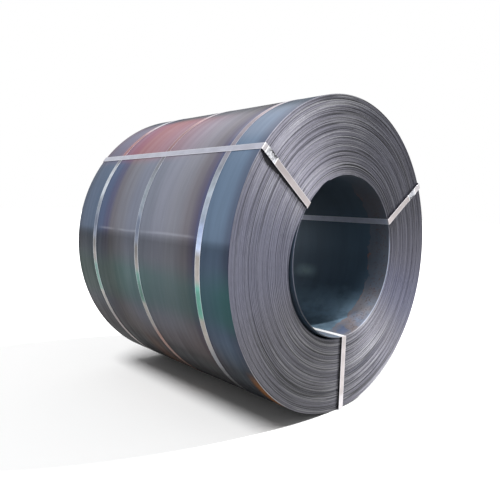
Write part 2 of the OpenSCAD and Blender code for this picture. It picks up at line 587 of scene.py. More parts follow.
@dataclass(frozen=True)
class OuterSheetFinish:
    """Mill scale on the outside of the coil: blue along both edges, ashen in the middle."""

    width: float
    zones: tuple[tuple[float, str], ...] = (
        (0.000, "4c4e6c"), (0.012, "5a6880"), (0.060, "6c829c"), (0.128, "647a94"), (0.168, "535678"),
        (0.186, "605c70"), (0.225, "7a7780"), (0.300, "8a8c98"), (0.400, "8a8e9e"), (0.470, "7c8292"),
        (0.570, "7c8294"), (0.650, "7a7c88"), (0.715, "6c6a74"), (0.755, "4e5070"), (0.805, "425478"),
        (0.870, "52657f"), (0.940, "52637d"), (0.980, "4c5a70"), (1.000, "424c60"))
    # Painted light and shade round the coil, multiplied into the colour: lightest at the upper left, darkest
    # at the underside.
    painted_shades: tuple[tuple[float, float], ...] = (
        (0, 0.50), (30, 0.60), (70, 0.60), (86, 0.40), (97, 0.21), (106, 0.21), (113, 0.25), (117, 0.43),
        (121, 0.75), (126, 0.95), (134, 0.95), (150, 0.82), (168, 0.78), (172.8, 0.71), (175, 0.34),
        (184, 0.35), (206, 0.375), (210, 0.29), (214, 0.18), (218, 0.07), (228, 0.02), (285, 0.06),
        (320, 0.35), (345, 0.50), (360, 0.50))
    # Painted reflections of coloured surroundings: red at the upper left, paler on the front margin there,
    # green and amber lower on the side, orange towards the underside.
    red: Sheen = Sheen("a8585c", 0.50, (113.0, 121.0, 139.0, 147.0),
                       ((-0.30, 0.16, 0.0, 1.0), (0.28, 0.42, 1.0, 0.25)))
    pale: Sheen = Sheen("b4b2bc", 0.15, (113.0, 121.0, 134.0, 142.0), ((-0.34, -0.28, 1.0, 0.0),))
    green: Sheen = Sheen("24504c", 1.0, (179.0, 189.0, 195.0, 205.0),
                         ((-0.46, -0.38, 1.556, 1.0), (-0.25, 0.20, 0.45, 0.60)))
    amber: Sheen = Sheen("4a2c20", 0.30, (200.0, 214.0, 210.0, 224.0), ((-0.44, -0.30, 0.0, 1.0),))
    glow: Sheen = Sheen("4a2c18", 0.60, (212.0, 222.0, 235.0, 245.0),
                        ((0.00, 0.10, 0.0, 1.0), (0.10, 0.20, 1.0, 0.0)))
    # Painted orange reflection on the front margin, towards the underside.
    margin_orange_reflection: Sheen = Sheen("7c4a18", 0.75, (215.0, 224.0, 235.5, 244.5), ((-0.479, -0.451, 1.0, 0.0),))
    # Painted green reflection on the far part of the side.
    far_green_reflection: Sheen = Sheen("14382e", 0.50, (182.0, 190.0, 197.0, 205.0), ((0.10, 0.26, 0.0, 1.0),))
    # Painted shade on the far part of the lower side.
    far_painted_shade: Sheen = Sheen("000000", 0.58, (172.0, 178.0, 280.0, 345.0), ((0.10, 0.26, 0.0, 1.0),))
    # Painted shade with a blue tint on the lower front margin.
    margin: Sheen = Sheen("b8d0e8", 0.30, (172.0, 178.0, 280.0, 345.0), ((-0.37, -0.33, 1.0, 0.0),),
                          "MULTIPLY")
    # Painted highlight along the front rim at the upper left.
    rim: Sheen = Sheen("d4d8e4", 0.60, (90.0, 102.0, 144.0, 156.0), ((-0.4975, -0.4955, 1.0, 0.0),))
    # Painted highlight: a thin, patchy light line along the sheet at about 173 degrees.
    crease_painted_light_and_shade: Sheen = Sheen("c8ccd8", 0.22, (172.1, 173.1, 172.6, 173.6),
                          ((-0.35, -0.27, 0.0, 1.0), (0.26, 0.34, 1.0, 0.0)))
    streak: str = "2c2e36"
    scuff: str = "b8bcc6"
    roughness: float = 0.42
    metallic: float = 0.35
    specular: float = 0.26

    def material(self, effects: SharedEffects) -> bpy.types.Material:
        """Builds the material.

        Args:
            effects: The shared node groups.

        Returns:
            The finished material.
        """
        coat = Finish("outer_sheet", effects)
        graph = coat.graph
        broad = coat.clouds(60.0, 3.0, 0.0, 3.0)
        colour = graph.gradient(coat.along / self.width + 0.5 + (broad - 0.5) * 0.03, self.zones)
        streaks = coat.streaks(38.0, 34.0)
        colour = graph.blend(graph.ramp(streaks, 0.3, 0.7, 0.0, 0.12), colour, ink(self.streak))
        # The painted shade for each angle round the coil, which also scales the specular level.
        shade = coat.levels_round(self.painted_shades)
        colour = graph.blend(1.0, colour, shade, "MULTIPLY")
        # The painted reflections are laid along an angle that wavers a little.
        haze = (coat.clouds(25.0, 2.5, 3.0, 2.0) - 0.5) * 8.0
        colour = coat.lay(colour, (self.red, self.pale, self.green, self.amber, self.glow), coat.angle + haze)
        # Lays the painted orange and green reflections, the painted shade and the painted rim highlight.
        colour = coat.lay(colour, (self.margin_orange_reflection, self.far_green_reflection, self.far_painted_shade, self.margin, self.rim))
        # Patchiness of the painted highlight line.
        patchy = graph.ramp(graph.noise(coat.place, 7.0, 2.0), 0.35, 0.6)
        colour = coat.lay(colour, (self.crease_painted_light_and_shade,), coat.angle + (broad - 0.5) * 2.0, patchy)
        colour = graph.blend(coat.scuffs(9.0, 0.1) * 0.12, colour, ink(self.scuff))
        rough = graph.ramp(streaks, 0.3, 0.7, self.roughness - 0.04, self.roughness + 0.08)
        open_sides = 1.0 - graph.window(coat.angle, 88.0, 112.0, 8.0)
        mirror = shade * open_sides * self.specular
        return coat.close(colour, rough, open_sides * self.metallic, streaks, 0.0001, mirror)


@dataclass(frozen=True)
class PaintedStrapShadow:
    """A painted shadow beside a strap on the front face, where the strap keeps the light off.

    The side is -1 or 1. The reach is the sum of three parts: one that swells and shrinks from the eye
    to the rim, one that is ragged from turn to turn, and one that is the same all along.
    """

    angle: float
    side: float
    swell: float
    ragged: float
    even: float


@dataclass(frozen=True)
class ShearedEdgeFinish:
    """The strip's edges that make up an end face, each turn in its own grey."""

    strap_width: float
    light: str = "f8f8ff"
    middle: str = "b7b5c5"
    dark: str = "686a7c"
    # Dark grey for scored lines, and for the painted shade in grooves and gaps between turns.
    groove: str = "32323e"
    # Near black for painted shade in open gaps between turns.
    gap_shade: str = "0c0c12"
    grime: str = "3a3a42"
    # Near black for the painted shadows beside the straps.
    strap_shadow: str = "08080e"
    # Painted light and shade round the end face, multiplied into the colour: brightest towards the upper left
    # and lower right, darkest towards the upper right and lower left.
    painted_shades: tuple[tuple[float, float], ...] = (
        (0, 0.205), (20, 0.128), (45, 0.126), (75, 0.143), (90, 0.250), (105, 0.43), (120, 0.63), (135, 0.78),
        (152, 0.50), (165, 0.390), (180, 0.340), (195, 0.300), (210, 0.232), (225, 0.198), (240, 0.163),
        (255, 0.168), (270, 0.260), (285, 0.435), (300, 0.625), (310, 0.575), (325, 0.44), (345, 0.293),
        (360, 0.205))
    contrasts: tuple[tuple[float, float], ...] = (
        (0, 0.20), (20, 0.75), (60, 1.05), (85, 1.50), (115, 0.65), (140, 0.65), (165, 0.50), (190, 0.15),
        (212, 0.35), (228, 1.20), (262, 1.25), (300, 0.85), (328, 0.40), (350, 0.12), (360, 0.20))
    # The painted shadows beside the left and the bottom strap.
    strap_shadows: tuple[PaintedStrapShadow, ...] = (
        PaintedStrapShadow(142.0, -1.0, 0.018, 1.0, 0.0), PaintedStrapShadow(270.0, 1.0, 0.0, 0.2, 0.002))
    # Width of the painted shadow from the eye to the rim.
    swells: tuple[tuple[float, float], ...] = (
        (0.0, 0.05), (0.1, 0.2), (0.35, 0.3), (0.6, 0.4), (0.7, 0.7), (0.78, 0.95), (0.85, 0.9), (0.93, 0.35),
        (1.0, 0.05))
    cool_right: Sheen = Sheen("d4d8ff", 0.42, style="MULTIPLY")
    cool_sides: tuple[Sheen, ...] = (
        Sheen("c8d8ff", 0.32, (140.0, 170.0, 185.0, 215.0), style="MULTIPLY"),
        Sheen("c8d8ff", 0.32, (310.0, 334.0, 340.0, 360.0), style="MULTIPLY"))
    roughness: float = 0.45
    metallic: float = 0.10

    def material(self, effects: SharedEffects) -> bpy.types.Material:
        """Builds the material.

        Args:
            effects: The shared node groups.

        Returns:
            The finished material.
        """
        coat = Finish("sheared_edge", effects)
        graph = coat.graph
        turn = graph.attribute("turn")
        contrast = coat.levels_round(self.contrasts)
        marked = graph.ramp(contrast, 0.1, 0.8, 0.35, 1.0)
        colour = self._greys(coat, turn, contrast)
        colour = self._gaps(coat, turn, marked, colour)
        grain = graph.noise(graph.vector(coat.folded / 3.0, turn * 0.9, 0.0), 1.0, 3.0, 0.6)
        colour = graph.blend(graph.ramp(grain, 0.35, 0.75, 0.0, 0.25), colour, ink(self.grime))
        # Painted shade at the bottoms of the grooves between turns.
        deep = graph.ramp(graph.attribute("groove"), 0.1, 0.9, 0.0, 0.85)
        colour = graph.blend(deep * marked, colour, ink(self.groove))
        # Multiplies in the painted light and shade round the face.
        colour = graph.blend(1.0, colour, coat.levels_round(self.painted_shades), "MULTIPLY")
        # Paints the shadows beside the straps.
        colour = self._paint_strap_shadows(coat, turn, colour)
        colour = coat.lay(colour, (self.cool_right,), patchy=coat.facing(25.0, 0.35, 0.8))
        colour = coat.lay(colour, self.cool_sides)
        return coat.close(colour, self.roughness, self.metallic, grain, 0.0002, 0.3)

    def _greys(self, coat: Finish, turn: Signal, contrast: Signal) -> Signal:
        """Gives each turn its grey, with darker and brighter lines among them.

        Args:
            coat: The finish in the making.
            turn: Place along the strip, in turns.
            contrast: How much the turns differ, by the direction from the eye.

        Returns:
            The colour.
        """
        graph = coat.graph
        bunch = self._lines(coat, turn, 0.17, 1.2)
        group = self._lines(coat, turn + 17.0, 0.43, 1.6)
        single = self._lines(coat, turn + 40.0, 0.87, 2.5)
        broad = graph.window(coat.angle, 272.0, 318.0, 14.0) * 0.25 + 0.12
        tone = 0.5 + ((bunch - 0.5) * broad + (group - 0.5) * 0.34 + (single - 0.5) * 0.4) * contrast
        colour = graph.gradient(tone, ((0.0, self.dark), (0.5, self.middle), (1.0, self.light)))
        scores = graph.ramp(self._line_noise(coat, turn, 0.62, 2.2, 0.0), 0.32, 0.42, 0.85, 0.0)
        colour = graph.blend(scores * contrast, colour, ink(self.groove))
        glints = graph.ramp(self._line_noise(coat, turn, 0.71, 2.6, 9.0), 0.60, 0.70, 0.0, 0.7)
        return graph.blend(glints * contrast, colour, ink(self.light))

    def _gaps(self, coat: Finish, turn: Signal, marked: Signal, colour: Signal) -> Signal:
        """Adds painted shade lines where turns stand apart: a few all round and more at the lower left.

        Args:
            coat: The finish in the making.
            turn: Place along the strip, in turns.
            marked: How clear the lines are, by the direction from the eye.
            colour: The colour so far.

        Returns:
            The colour with the lines.
        """
        graph = coat.graph
        # Painted shade in a few gaps all round, then in the gaps of slack and sprung turns at the lower left.
        rare = graph.ramp(graph.line_noise(turn + 91.0, 0.83), 0.60, 0.70)
        colour = graph.blend(rare * marked * 0.65, colour, ink(self.groove))
        lower_left = graph.window(coat.angle, 205.0, 262.0, 10.0)
        slack = graph.window(turn + graph.sine(coat.angle * 2.0) * 3.0, 60.0, 75.0, 3.0)
        gap_shade_lines = graph.ramp(graph.line_noise(turn + 7.0, 0.42), 0.42, 0.47, 0.9, 0.0)
        colour = graph.blend(slack * lower_left * gap_shade_lines, colour, ink(self.gap_shade))
        sprung = graph.ramp(turn, 3.0, 13.0, 1.0, 0.0) * lower_left
        rings = graph.ramp(graph.line_noise(turn, 1.3), 0.45, 0.52, 0.1, 1.0)
        return graph.blend(sprung * rings, colour, ink(self.groove))

    def _paint_strap_shadows(self, coat: Finish, turn: Signal, colour: Signal) -> Signal:
        """Paints the straps' shadows on the front face beside them.

        Args:
            coat: The finish in the making.
            turn: Place along the strip, in turns.
            colour: The colour so far.

        Returns:
            The colour with the painted shadows.
        """
        graph = coat.graph
        front = graph.ramp(coat.along, -0.1, 0.1, 1.0, 0.0)
        ragged = (graph.line_noise(turn, 1.7, 1.0) - 0.5) * 0.008
        swell = graph.levels((coat.radius - 0.3) / 0.3, self.swells, 1.0)
        for painted_shadow in self.strap_shadows:
            turned = math.radians(painted_shadow.angle)
            offset = coat.across * math.sin(turned) - coat.upward * math.cos(turned)
            aside = offset * painted_shadow.side - self.strap_width / 2
            reach = swell * painted_shadow.swell + ragged * painted_shadow.ragged + painted_shadow.even
            dark = graph.ramp(aside, reach - 0.0015, reach + 0.0015, 1.0, 0.0) \
                * graph.ramp(aside, -0.012, -0.010)
            near = graph.window(coat.angle, painted_shadow.angle - 20.0, painted_shadow.angle + 20.0, 1.0)
            colour = graph.blend(dark * near * front * 0.92, colour, ink(self.strap_shadow))
        return colour

    def _lines(self, coat: Finish, turn: Signal, fineness: float, breaks: float) -> Signal:
        """Gives lines from 0 to 1 that follow the turns and change slowly round the face.

        Args:
            coat: The finish in the making.
            turn: Place along the strip, in turns.
            fineness: Lines to a turn.
            breaks: How often a line changes on its way round.

        Returns:
            The level of the lines.
        """
        cloudy = self._line_noise(coat, turn, fineness, breaks, 0.0, 1.0)
        return coat.graph.ramp(cloudy, 0.34, 0.66, style="LINEAR")

    @staticmethod
    def _line_noise(coat: Finish, turn: Signal, fineness: float, breaks: float, offset: float,
                    detail: float = 0.0) -> Signal:
        """Gives noise from 0 to 1 that is drawn out along the turns.

        Args:
            coat: The finish in the making.
            turn: Place along the strip, in turns.
            fineness: Lines to a turn.
            breaks: How often a line changes on its way round.
            offset: Shift that makes two such noises differ.
            detail: How many finer layers are laid over it.

        Returns:
            The noise.
        """
        place = coat.graph.vector(turn * fineness, coat.across * breaks, coat.upward * breaks + offset)
        return coat.graph.noise(place, 1.0, detail)


@dataclass(frozen=True)
class BoreSheetFinish:
    """Dark scale on the wall of the eye, scuffed where the mandrel rubbed near the front."""

    deep: str = "455b6e"
    bare: str = "98a6c0"
    brown: str = "b0a4a6"
    dusty: str = "8a7468"
    rusty_line: str = "9c6448"
    streak: str = "1a2230"
    # Painted light and shade round the eye, multiplied into the colour: darkest at the top, lightest low on
    # the right.
    painted_shades: tuple[tuple[float, float], ...] = (
        (0, 0.72), (30, 0.52), (90, 0.45), (135, 0.55), (170, 0.80), (215, 0.80), (250, 0.58), (286, 0.60),
        (298, 0.98), (318, 1.00), (330, 0.88), (350, 0.72), (360, 0.72))
    # Painted light on the lower wall of the eye: a paler teal, strongest near the front.
    painted_light_below: Sheen = Sheen("9cbcd4", 1.0, (232.0, 258.0, 304.0, 330.0), ((-0.38, 0.10, 1.0, 0.25),))
    # Painted highlight: a soft pale patch low on the right wall, halfway into the eye.
    painted_highlight_spot: Sheen = Sheen("c4e4e8", 1.0, (328.0, 340.0, 333.0, 345.0),
                        ((-0.16, -0.04, 0.0, 1.0), (-0.10, 0.02, 1.0, 0.0)))
    specks: Sheen = Sheen("5e3826", 0.50, runs=((-0.498, -0.478, 0.0, 1.0), (-0.44, -0.42, 1.0, 0.0)))
    blue_mark: Sheen = Sheen("5a86c4", 0.40, (275.0, 277.0, 285.0, 287.0),
                             ((-0.481, -0.475, 0.0, 1.0), (-0.443, -0.437, 1.0, 0.0)))
    warmth: Sheen = Sheen("ffdcc8", 0.60, style="MULTIPLY")
    # Painted highlight along the front edge of the eye, towards the lower right.
    lip: Sheen = Sheen("dfe9ff", 0.90, runs=((-0.4975, -0.4945, 1.0, 0.0),))
    chip: Sheen = Sheen("ffffff", 0.90, (79.1, 79.9, 84.1, 84.9), ((-0.4985, -0.4955, 1.0, 0.0),))
    worn_edge: float = -0.408
    roughness: float = 0.42
    metallic: float = 0.35

    def material(self, effects: SharedEffects) -> bpy.types.Material:
        """Builds the material.

        Args:
            effects: The shared node groups.

        Returns:
            The finished material.
        """
        coat = Finish("bore_sheet", effects)
        graph = coat.graph
        brushed = coat.clouds(9.0, 14.0, 6.0, 3.0, 0.6)
        strokes = graph.ramp(brushed, 0.35, 0.62, 0.62, 1.0)
        # Lays the painted light on the lower wall in streaks.
        colour = coat.lay(ink(self.deep), (self.painted_light_below,), coat.angle + (brushed - 0.5) * 24.0, strokes)
        colour = coat.lay(colour, (self.painted_highlight_spot,), patchy=graph.ramp(brushed, 0.3, 0.6, 0.5, 0.95))
        colour = self._rubbed(coat, colour)
        streaks = coat.streaks(24.0, 60.0)
        colour = graph.blend(graph.ramp(streaks, 0.35, 0.7, 0.0, 0.15), colour, ink(self.streak))
        # Multiplies in the painted light and shade round the eye.
        colour = graph.blend(1.0, colour, coat.levels_round(self.painted_shades), "MULTIPLY")
        colour = coat.lay(colour, (self.warmth,), patchy=coat.facing(90.0, 0.2, 0.8))
        # Lays the painted highlight along the front edge, facing the lower right.
        colour = coat.lay(colour, (self.lip,), patchy=coat.facing(332.0, 0.70, 0.86))
        colour = coat.lay(colour, (self.chip,))
        return coat.close(colour, self.roughness, self.metallic)

    def _rubbed(self, coat: Finish, colour: Signal) -> Signal:
        """Adds what the mandrel left near the front: bare patches, a rusty edge, specks and a blue mark.

        Args:
            coat: The finish in the making.
            colour: The colour so far.

        Returns:
            The colour with the rubbed margin.
        """
        graph = coat.graph
        past_edge = coat.along - self.worn_edge - (coat.clouds(18.0, 16.0, 2.0, 4.0, 0.7) - 0.5) * 0.09
        front = graph.ramp(past_edge, -0.004, 0.004, 1.0, 0.0)
        patch = graph.ramp(graph.noise(coat.place, 13.0, 5.0, 0.7), 0.36, 0.64)
        lower = graph.window(coat.angle, 262.0, 318.0, 22.0)
        right = coat.facing(345.0, 0.0, 0.7)
        rubbed = graph.blend(patch, ink(self.bare), ink(self.brown))
        colour = graph.blend(front * (lower * 0.8 + 0.1), colour, rubbed)
        colour = graph.blend(front * right * 0.16, colour, ink(self.dusty))
        line = graph.window(past_edge, -0.0022, 0.0014, 0.0008) * graph.ramp(patch, 0.2, 0.7, 0.1, 0.6)
        colour = graph.blend(line * graph.math("MAXIMUM", right, lower), colour, ink(self.rusty_line))
        fine = graph.ramp(graph.noise(coat.place, 120.0, 3.0, 0.6), 0.54, 0.64)
        colour = coat.lay(colour, (self.specks,), patchy=fine * graph.ramp(right, 0.3, 1.0))
        ragged = patch - 0.5
        colour = coat.lay(colour, (self.blue_mark,), coat.angle + ragged * 6.0,
                          along=coat.along + ragged * 0.02)
        border = graph.ramp(past_edge, -0.014, -0.002) * front
        return graph.blend(border * lower * 0.45, colour, ink(self.brown))


@dataclass(frozen=True)
class BandZincFinish:
    """Zinc of the bands round the coil, with painted reflections, highlights and shade round it."""

    # The bands' colour round the coil, with painted reflections of the surroundings, painted highlights and
    # painted shade at the underside.
    painted_reflection_hues: tuple[tuple[float, str], ...] = (
        (96, "d8d6dc"), (113, "ccc0c8"), (120, "c4b0b8"), (130, "9c909a"), (142, "8c8692"),
        (150, "949aa6"), (158, "b2becc"), (166, "a8b4c6"), (170, "a8b8dc"), (176, "c0ceec"),
        (178, "938e8a"), (186.5, "8a8582"), (188, "609c90"), (198, "60a08e"), (199.5, "b4aea6"),
        (208, "aaa49e"), (213, "7c7e84"), (219, "5c6068"), (221, "24252c"), (232, "121316"),
        (250, "3c3838"), (300, "8c8c90"), (360, "a8a8ac"))
    # Painted red reflection on the middle and back bands.
    red: Sheen = Sheen("c4524c", 1.0, (115.5, 119.5, 139.0, 143.0),
                       (PAST_FRONT_BAND, (0.10, 0.25, 0.45, 0.70)))
    # Painted shade that dims the middle and back bands down the side.
    painted_dimming: tuple[Sheen, ...] = (
        Sheen("20242a", 0.34, (122.0, 130.0, 236.0, 244.0), (PAST_FRONT_BAND,)),
        Sheen("20242a", 0.515, (166.0, 170.0, 180.0, 184.0), (PAST_FRONT_BAND,)),
        Sheen("20242a", 0.333, (187.0, 189.0, 197.0, 199.0), (PAST_FRONT_BAND,)))
    # Painted highlights on the back band.
    shine: tuple[Sheen, ...] = (
        Sheen("e4ecf6", 0.70, (143.0, 149.0, 157.0, 163.0), ((0.20, 0.30, 0.0, 1.0),)),
        Sheen("e4ecf6", 0.70, (108.0, 116.0, 120.0, 128.0), ((0.20, 0.30, 0.0, 1.0),)))
    # Painted orange reflection on the middle and back bands, towards the underside.
    glow: Sheen = Sheen("8c4c22", 1.0, (207.0, 215.0, 236.0, 244.0),
                        (PAST_FRONT_BAND, (0.10, 0.25, 0.80, 0.30)))
    # Colour of the painted glint along the band edges.
    edge: str = "dfe5f0"
    roughness: float = 0.28
    metallic: float = 0.75

    def material(self, effects: SharedEffects) -> bpy.types.Material:
        """Builds the material.

        Args:
            effects: The shared node groups.

        Returns:
            The finished material.
        """
        coat = Finish("band_zinc", effects)
        graph = coat.graph
        stops = [(angle / 360, code) for angle, code in self.painted_reflection_hues]
        colour = graph.gradient(coat.angle / 360.0, stops, "LINEAR")
        colour = coat.lay(colour, (self.red, *self.painted_dimming, *self.shine, self.glow))
        colour = graph.blend(1.0, colour, coat.spangle(30.0, 0.74), "MULTIPLY")
        # Painted glint along both band edges, weaker from about 200 degrees on.
        glint = coat.edge_highlight_mask() * graph.ramp(coat.angle, 200.0, 216.0, 0.5, 0.1)
        colour = graph.blend(glint, colour, ink(self.edge))
        return coat.close(colour, self.roughness, self.metallic)


@dataclass(frozen=True)
class ZincFinish:
    """Zinc coat of the straps and seals: pale, and warmer where it lies over an end face."""

    name: str = "strap_zinc"
    on_face: str = "b4acac"
    along_coil: str = "b4b6c4"
    # White for the painted light on the bottom strap inside the eye.
    painted_light_in_eye: str = "ffffff"
    # Colour and share of the painted highlight along the strap edges and the seal lips.
    edge: str = "e8e8ee"
    edge_highlight_share: float = 0.55
    # Near black for the painted shade in the dents of the seals.
    crease_painted_light_and_shade: str = "14141c"
    mottle_scale: float = 22.0
    mottle: float = 0.84
    roughness: float = 0.32
    metallic: float = 0.75

    def material(self, effects: SharedEffects) -> bpy.types.Material:
        """Builds the material.

        Args:
            effects: The shared node groups.

        Returns:
            The finished material.
        """
        coat = Finish(self.name, effects)
        graph = coat.graph
        on_face = graph.ramp(graph.math("ABSOLUTE", coat.along), 0.496, 0.504)
        colour = graph.blend(on_face, ink(self.along_coil), ink(self.on_face))
        # Painted highlight on the straps over the end faces, near the rim.
        rim_highlight = graph.ramp(coat.radius, 0.520, 0.545, 0.0, 0.35)
        colour = graph.blend(on_face * rim_highlight, colour, ink(self.edge))
        # Painted light on the bottom strap's run through the eye, which is also made less metallic there.
        below = graph.ramp(coat.radius, 0.33, 0.36, 1.0, 0.0) * graph.window(coat.angle, 255.0, 285.0, 5.0)
        colour = graph.blend(below * (1.0 - on_face), colour, ink(self.painted_light_in_eye))
        colour = graph.blend(1.0, colour, coat.spangle(self.mottle_scale, self.mottle), "MULTIPLY")
        # Lays the painted highlight along the edges.
        colour = graph.blend(coat.edge_highlight_mask() * self.edge_highlight_share, colour, ink(self.edge))
        # Lays the painted shade in the seals' dents.
        colour = graph.blend(graph.attribute("crease_painted_light_and_shade"), colour, ink(self.crease_painted_light_and_shade))
        metallic = (1.0 - below * 0.9) * self.metallic
        return coat.close(colour, self.roughness, metallic)


# The seals' zinc, with a white painted highlight along the lips.
SEAL_ZINC = ZincFinish("seal_zinc", on_face="dcdee6", along_coil="c8cad2", edge="ffffff", edge_highlight_share=0.9,
                       mottle_scale=95.0, mottle=0.42, roughness=0.25, metallic=0.85)


@dataclass
class Finishes:
    """Every material of the coil."""

    outer_sheet: bpy.types.Material
    sheared_edge: bpy.types.Material
    bore_sheet: bpy.types.Material
    band_zinc: bpy.types.Material
    strap_zinc: bpy.types.Material
    seal_zinc: bpy.types.Material

    @classmethod
    def build(cls, sizes: CoilSizes, strapping: Strapping) -> "Finishes":
        """Builds all the materials.

        Args:
            sizes: The coil's main sizes.
            strapping: The strapping's sizes.

        Returns:
            The set of materials.
        """
        effects = SharedEffects()
        return cls(OuterSheetFinish(sizes.width).material(effects),
                   ShearedEdgeFinish(strapping.width).material(effects),
                   BoreSheetFinish().material(effects), BandZincFinish().material(effects),
                   ZincFinish().material(effects), SEAL_ZINC.material(effects))


def skin(name: str, rows: Sequence[Sequence[Vector]], materials: Sequence[bpy.types.Material],
         close_rows: bool = False, close_columns: bool = False,
         slot_of: Callable[[int, int], int] | None = None,
         marks: dict[str, Sequence[float]] | None = None) -> bpy.types.Mesh:
    """Makes a mesh from a grid of points.

    Args:
        name: What the mesh is called.
        rows: Points, row by row. All rows are equally long.
        materials: The mesh's materials.
        close_rows: Whether the last row joins on to the first.
        close_columns: Whether the last point of a row joins on to its first.
        slot_of: Gives the material's number from a row and a column.
        marks: Values that a finish reads, one for each point, by their name.

    Returns:
        The mesh.
    """
    count, length = len(rows), len(rows[0])
    faces: list[tuple[int, int, int, int]] = []
    slots: list[int] = []
    for i in range(count if close_rows else count - 1):
        for j in range(length if close_columns else length - 1):
            below, right = (i + 1) % count, (j + 1) % length
            faces.append((i * length + j, i * length + right, below * length + right, below * length + j))
            slots.append(slot_of(i, j) if slot_of else 0)
    mesh = bpy.data.meshes.new(name)
    mesh.from_pydata([point for row in rows for point in row], [], faces)
    for material in materials:
        mesh.materials.append(material)
    mesh.polygons.foreach_set("material_index", slots)
    for label, values in (marks or {}).items():
        mesh.attributes.new(label, "FLOAT", "POINT").data.foreach_set("value", list(values))
    return mesh


def piece(name: str, parts: Sequence[bpy.types.Mesh], sharp: float = 35.0,
          fill_holes: bool = False) -> bpy.types.Object:
    """Joins meshes into one finished object with outward faces.

    Args:
        name: What the object is called.
        parts: The meshes, which are used up.
        sharp: Angle in degrees past which an edge stays sharp.
        fill_holes: Whether open ends are filled.

    Returns:
        The object, at the origin.
    """
    materials: list[bpy.types.Material] = []
    joined = bmesh.new()
    for part in parts:
        for material in part.materials:
            if material not in materials:
                materials.append(material)
        places = [materials.index(material) for material in part.materials]
        before = len(joined.faces)
        joined.from_mesh(part)
        joined.faces.ensure_lookup_table()
        for face in joined.faces[before:]:
            face.material_index = places[face.material_index]
    bmesh.ops.remove_doubles(joined, verts=joined.verts, dist=2e-6)
    bmesh.ops.dissolve_degenerate(joined, edges=joined.edges, dist=1e-6)
    if fill_holes:
        open_edges = [edge for edge in joined.edges if edge.is_boundary]
        bmesh.ops.holes_fill(joined, edges=open_edges, sides=0)
    bmesh.ops.recalc_face_normals(joined, faces=joined.faces)
    mesh = bpy.data.meshes.new(name)
    joined.to_mesh(mesh)
    joined.free()
    for material in materials:
        mesh.materials.append(material)
    mesh.polygons.foreach_set("use_smooth", [True] * len(mesh.polygons))
    mesh.set_sharp_from_angle(angle=math.radians(sharp))
    for part in parts:
        bpy.data.meshes.remove(part)
    made = bpy.data.objects.new(name, mesh)
    bpy.context.scene.collection.objects.link(made)
    return made


def deliver(made: bpy.types.Object, node: str) -> None:
    """Lets a finished object stand for its CAD node.

    Args:
        made: The object.
        node: The CAD node that it replaces.
    """
    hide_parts(node)
    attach(made, "root")
    triangles = sum(len(face.vertices) - 2 for face in made.data.polygons)
    log.info("%s: %d triangles", made.name, triangles)


@dataclass(frozen=True)
class LooseOpening:
    """The crescent that opens between the loose first turn and the rest.

    It lies between the turn's outer side and a larger circle, shifted towards the direction.
    """

    circle_radius: float = 0.29225
    circle_shift: float = 0.03225
    direction: float = 213.0
    depth: float = 0.070
    crowding: float = 0.060
    sinking: float = 0.020
    slope: float = 0.45


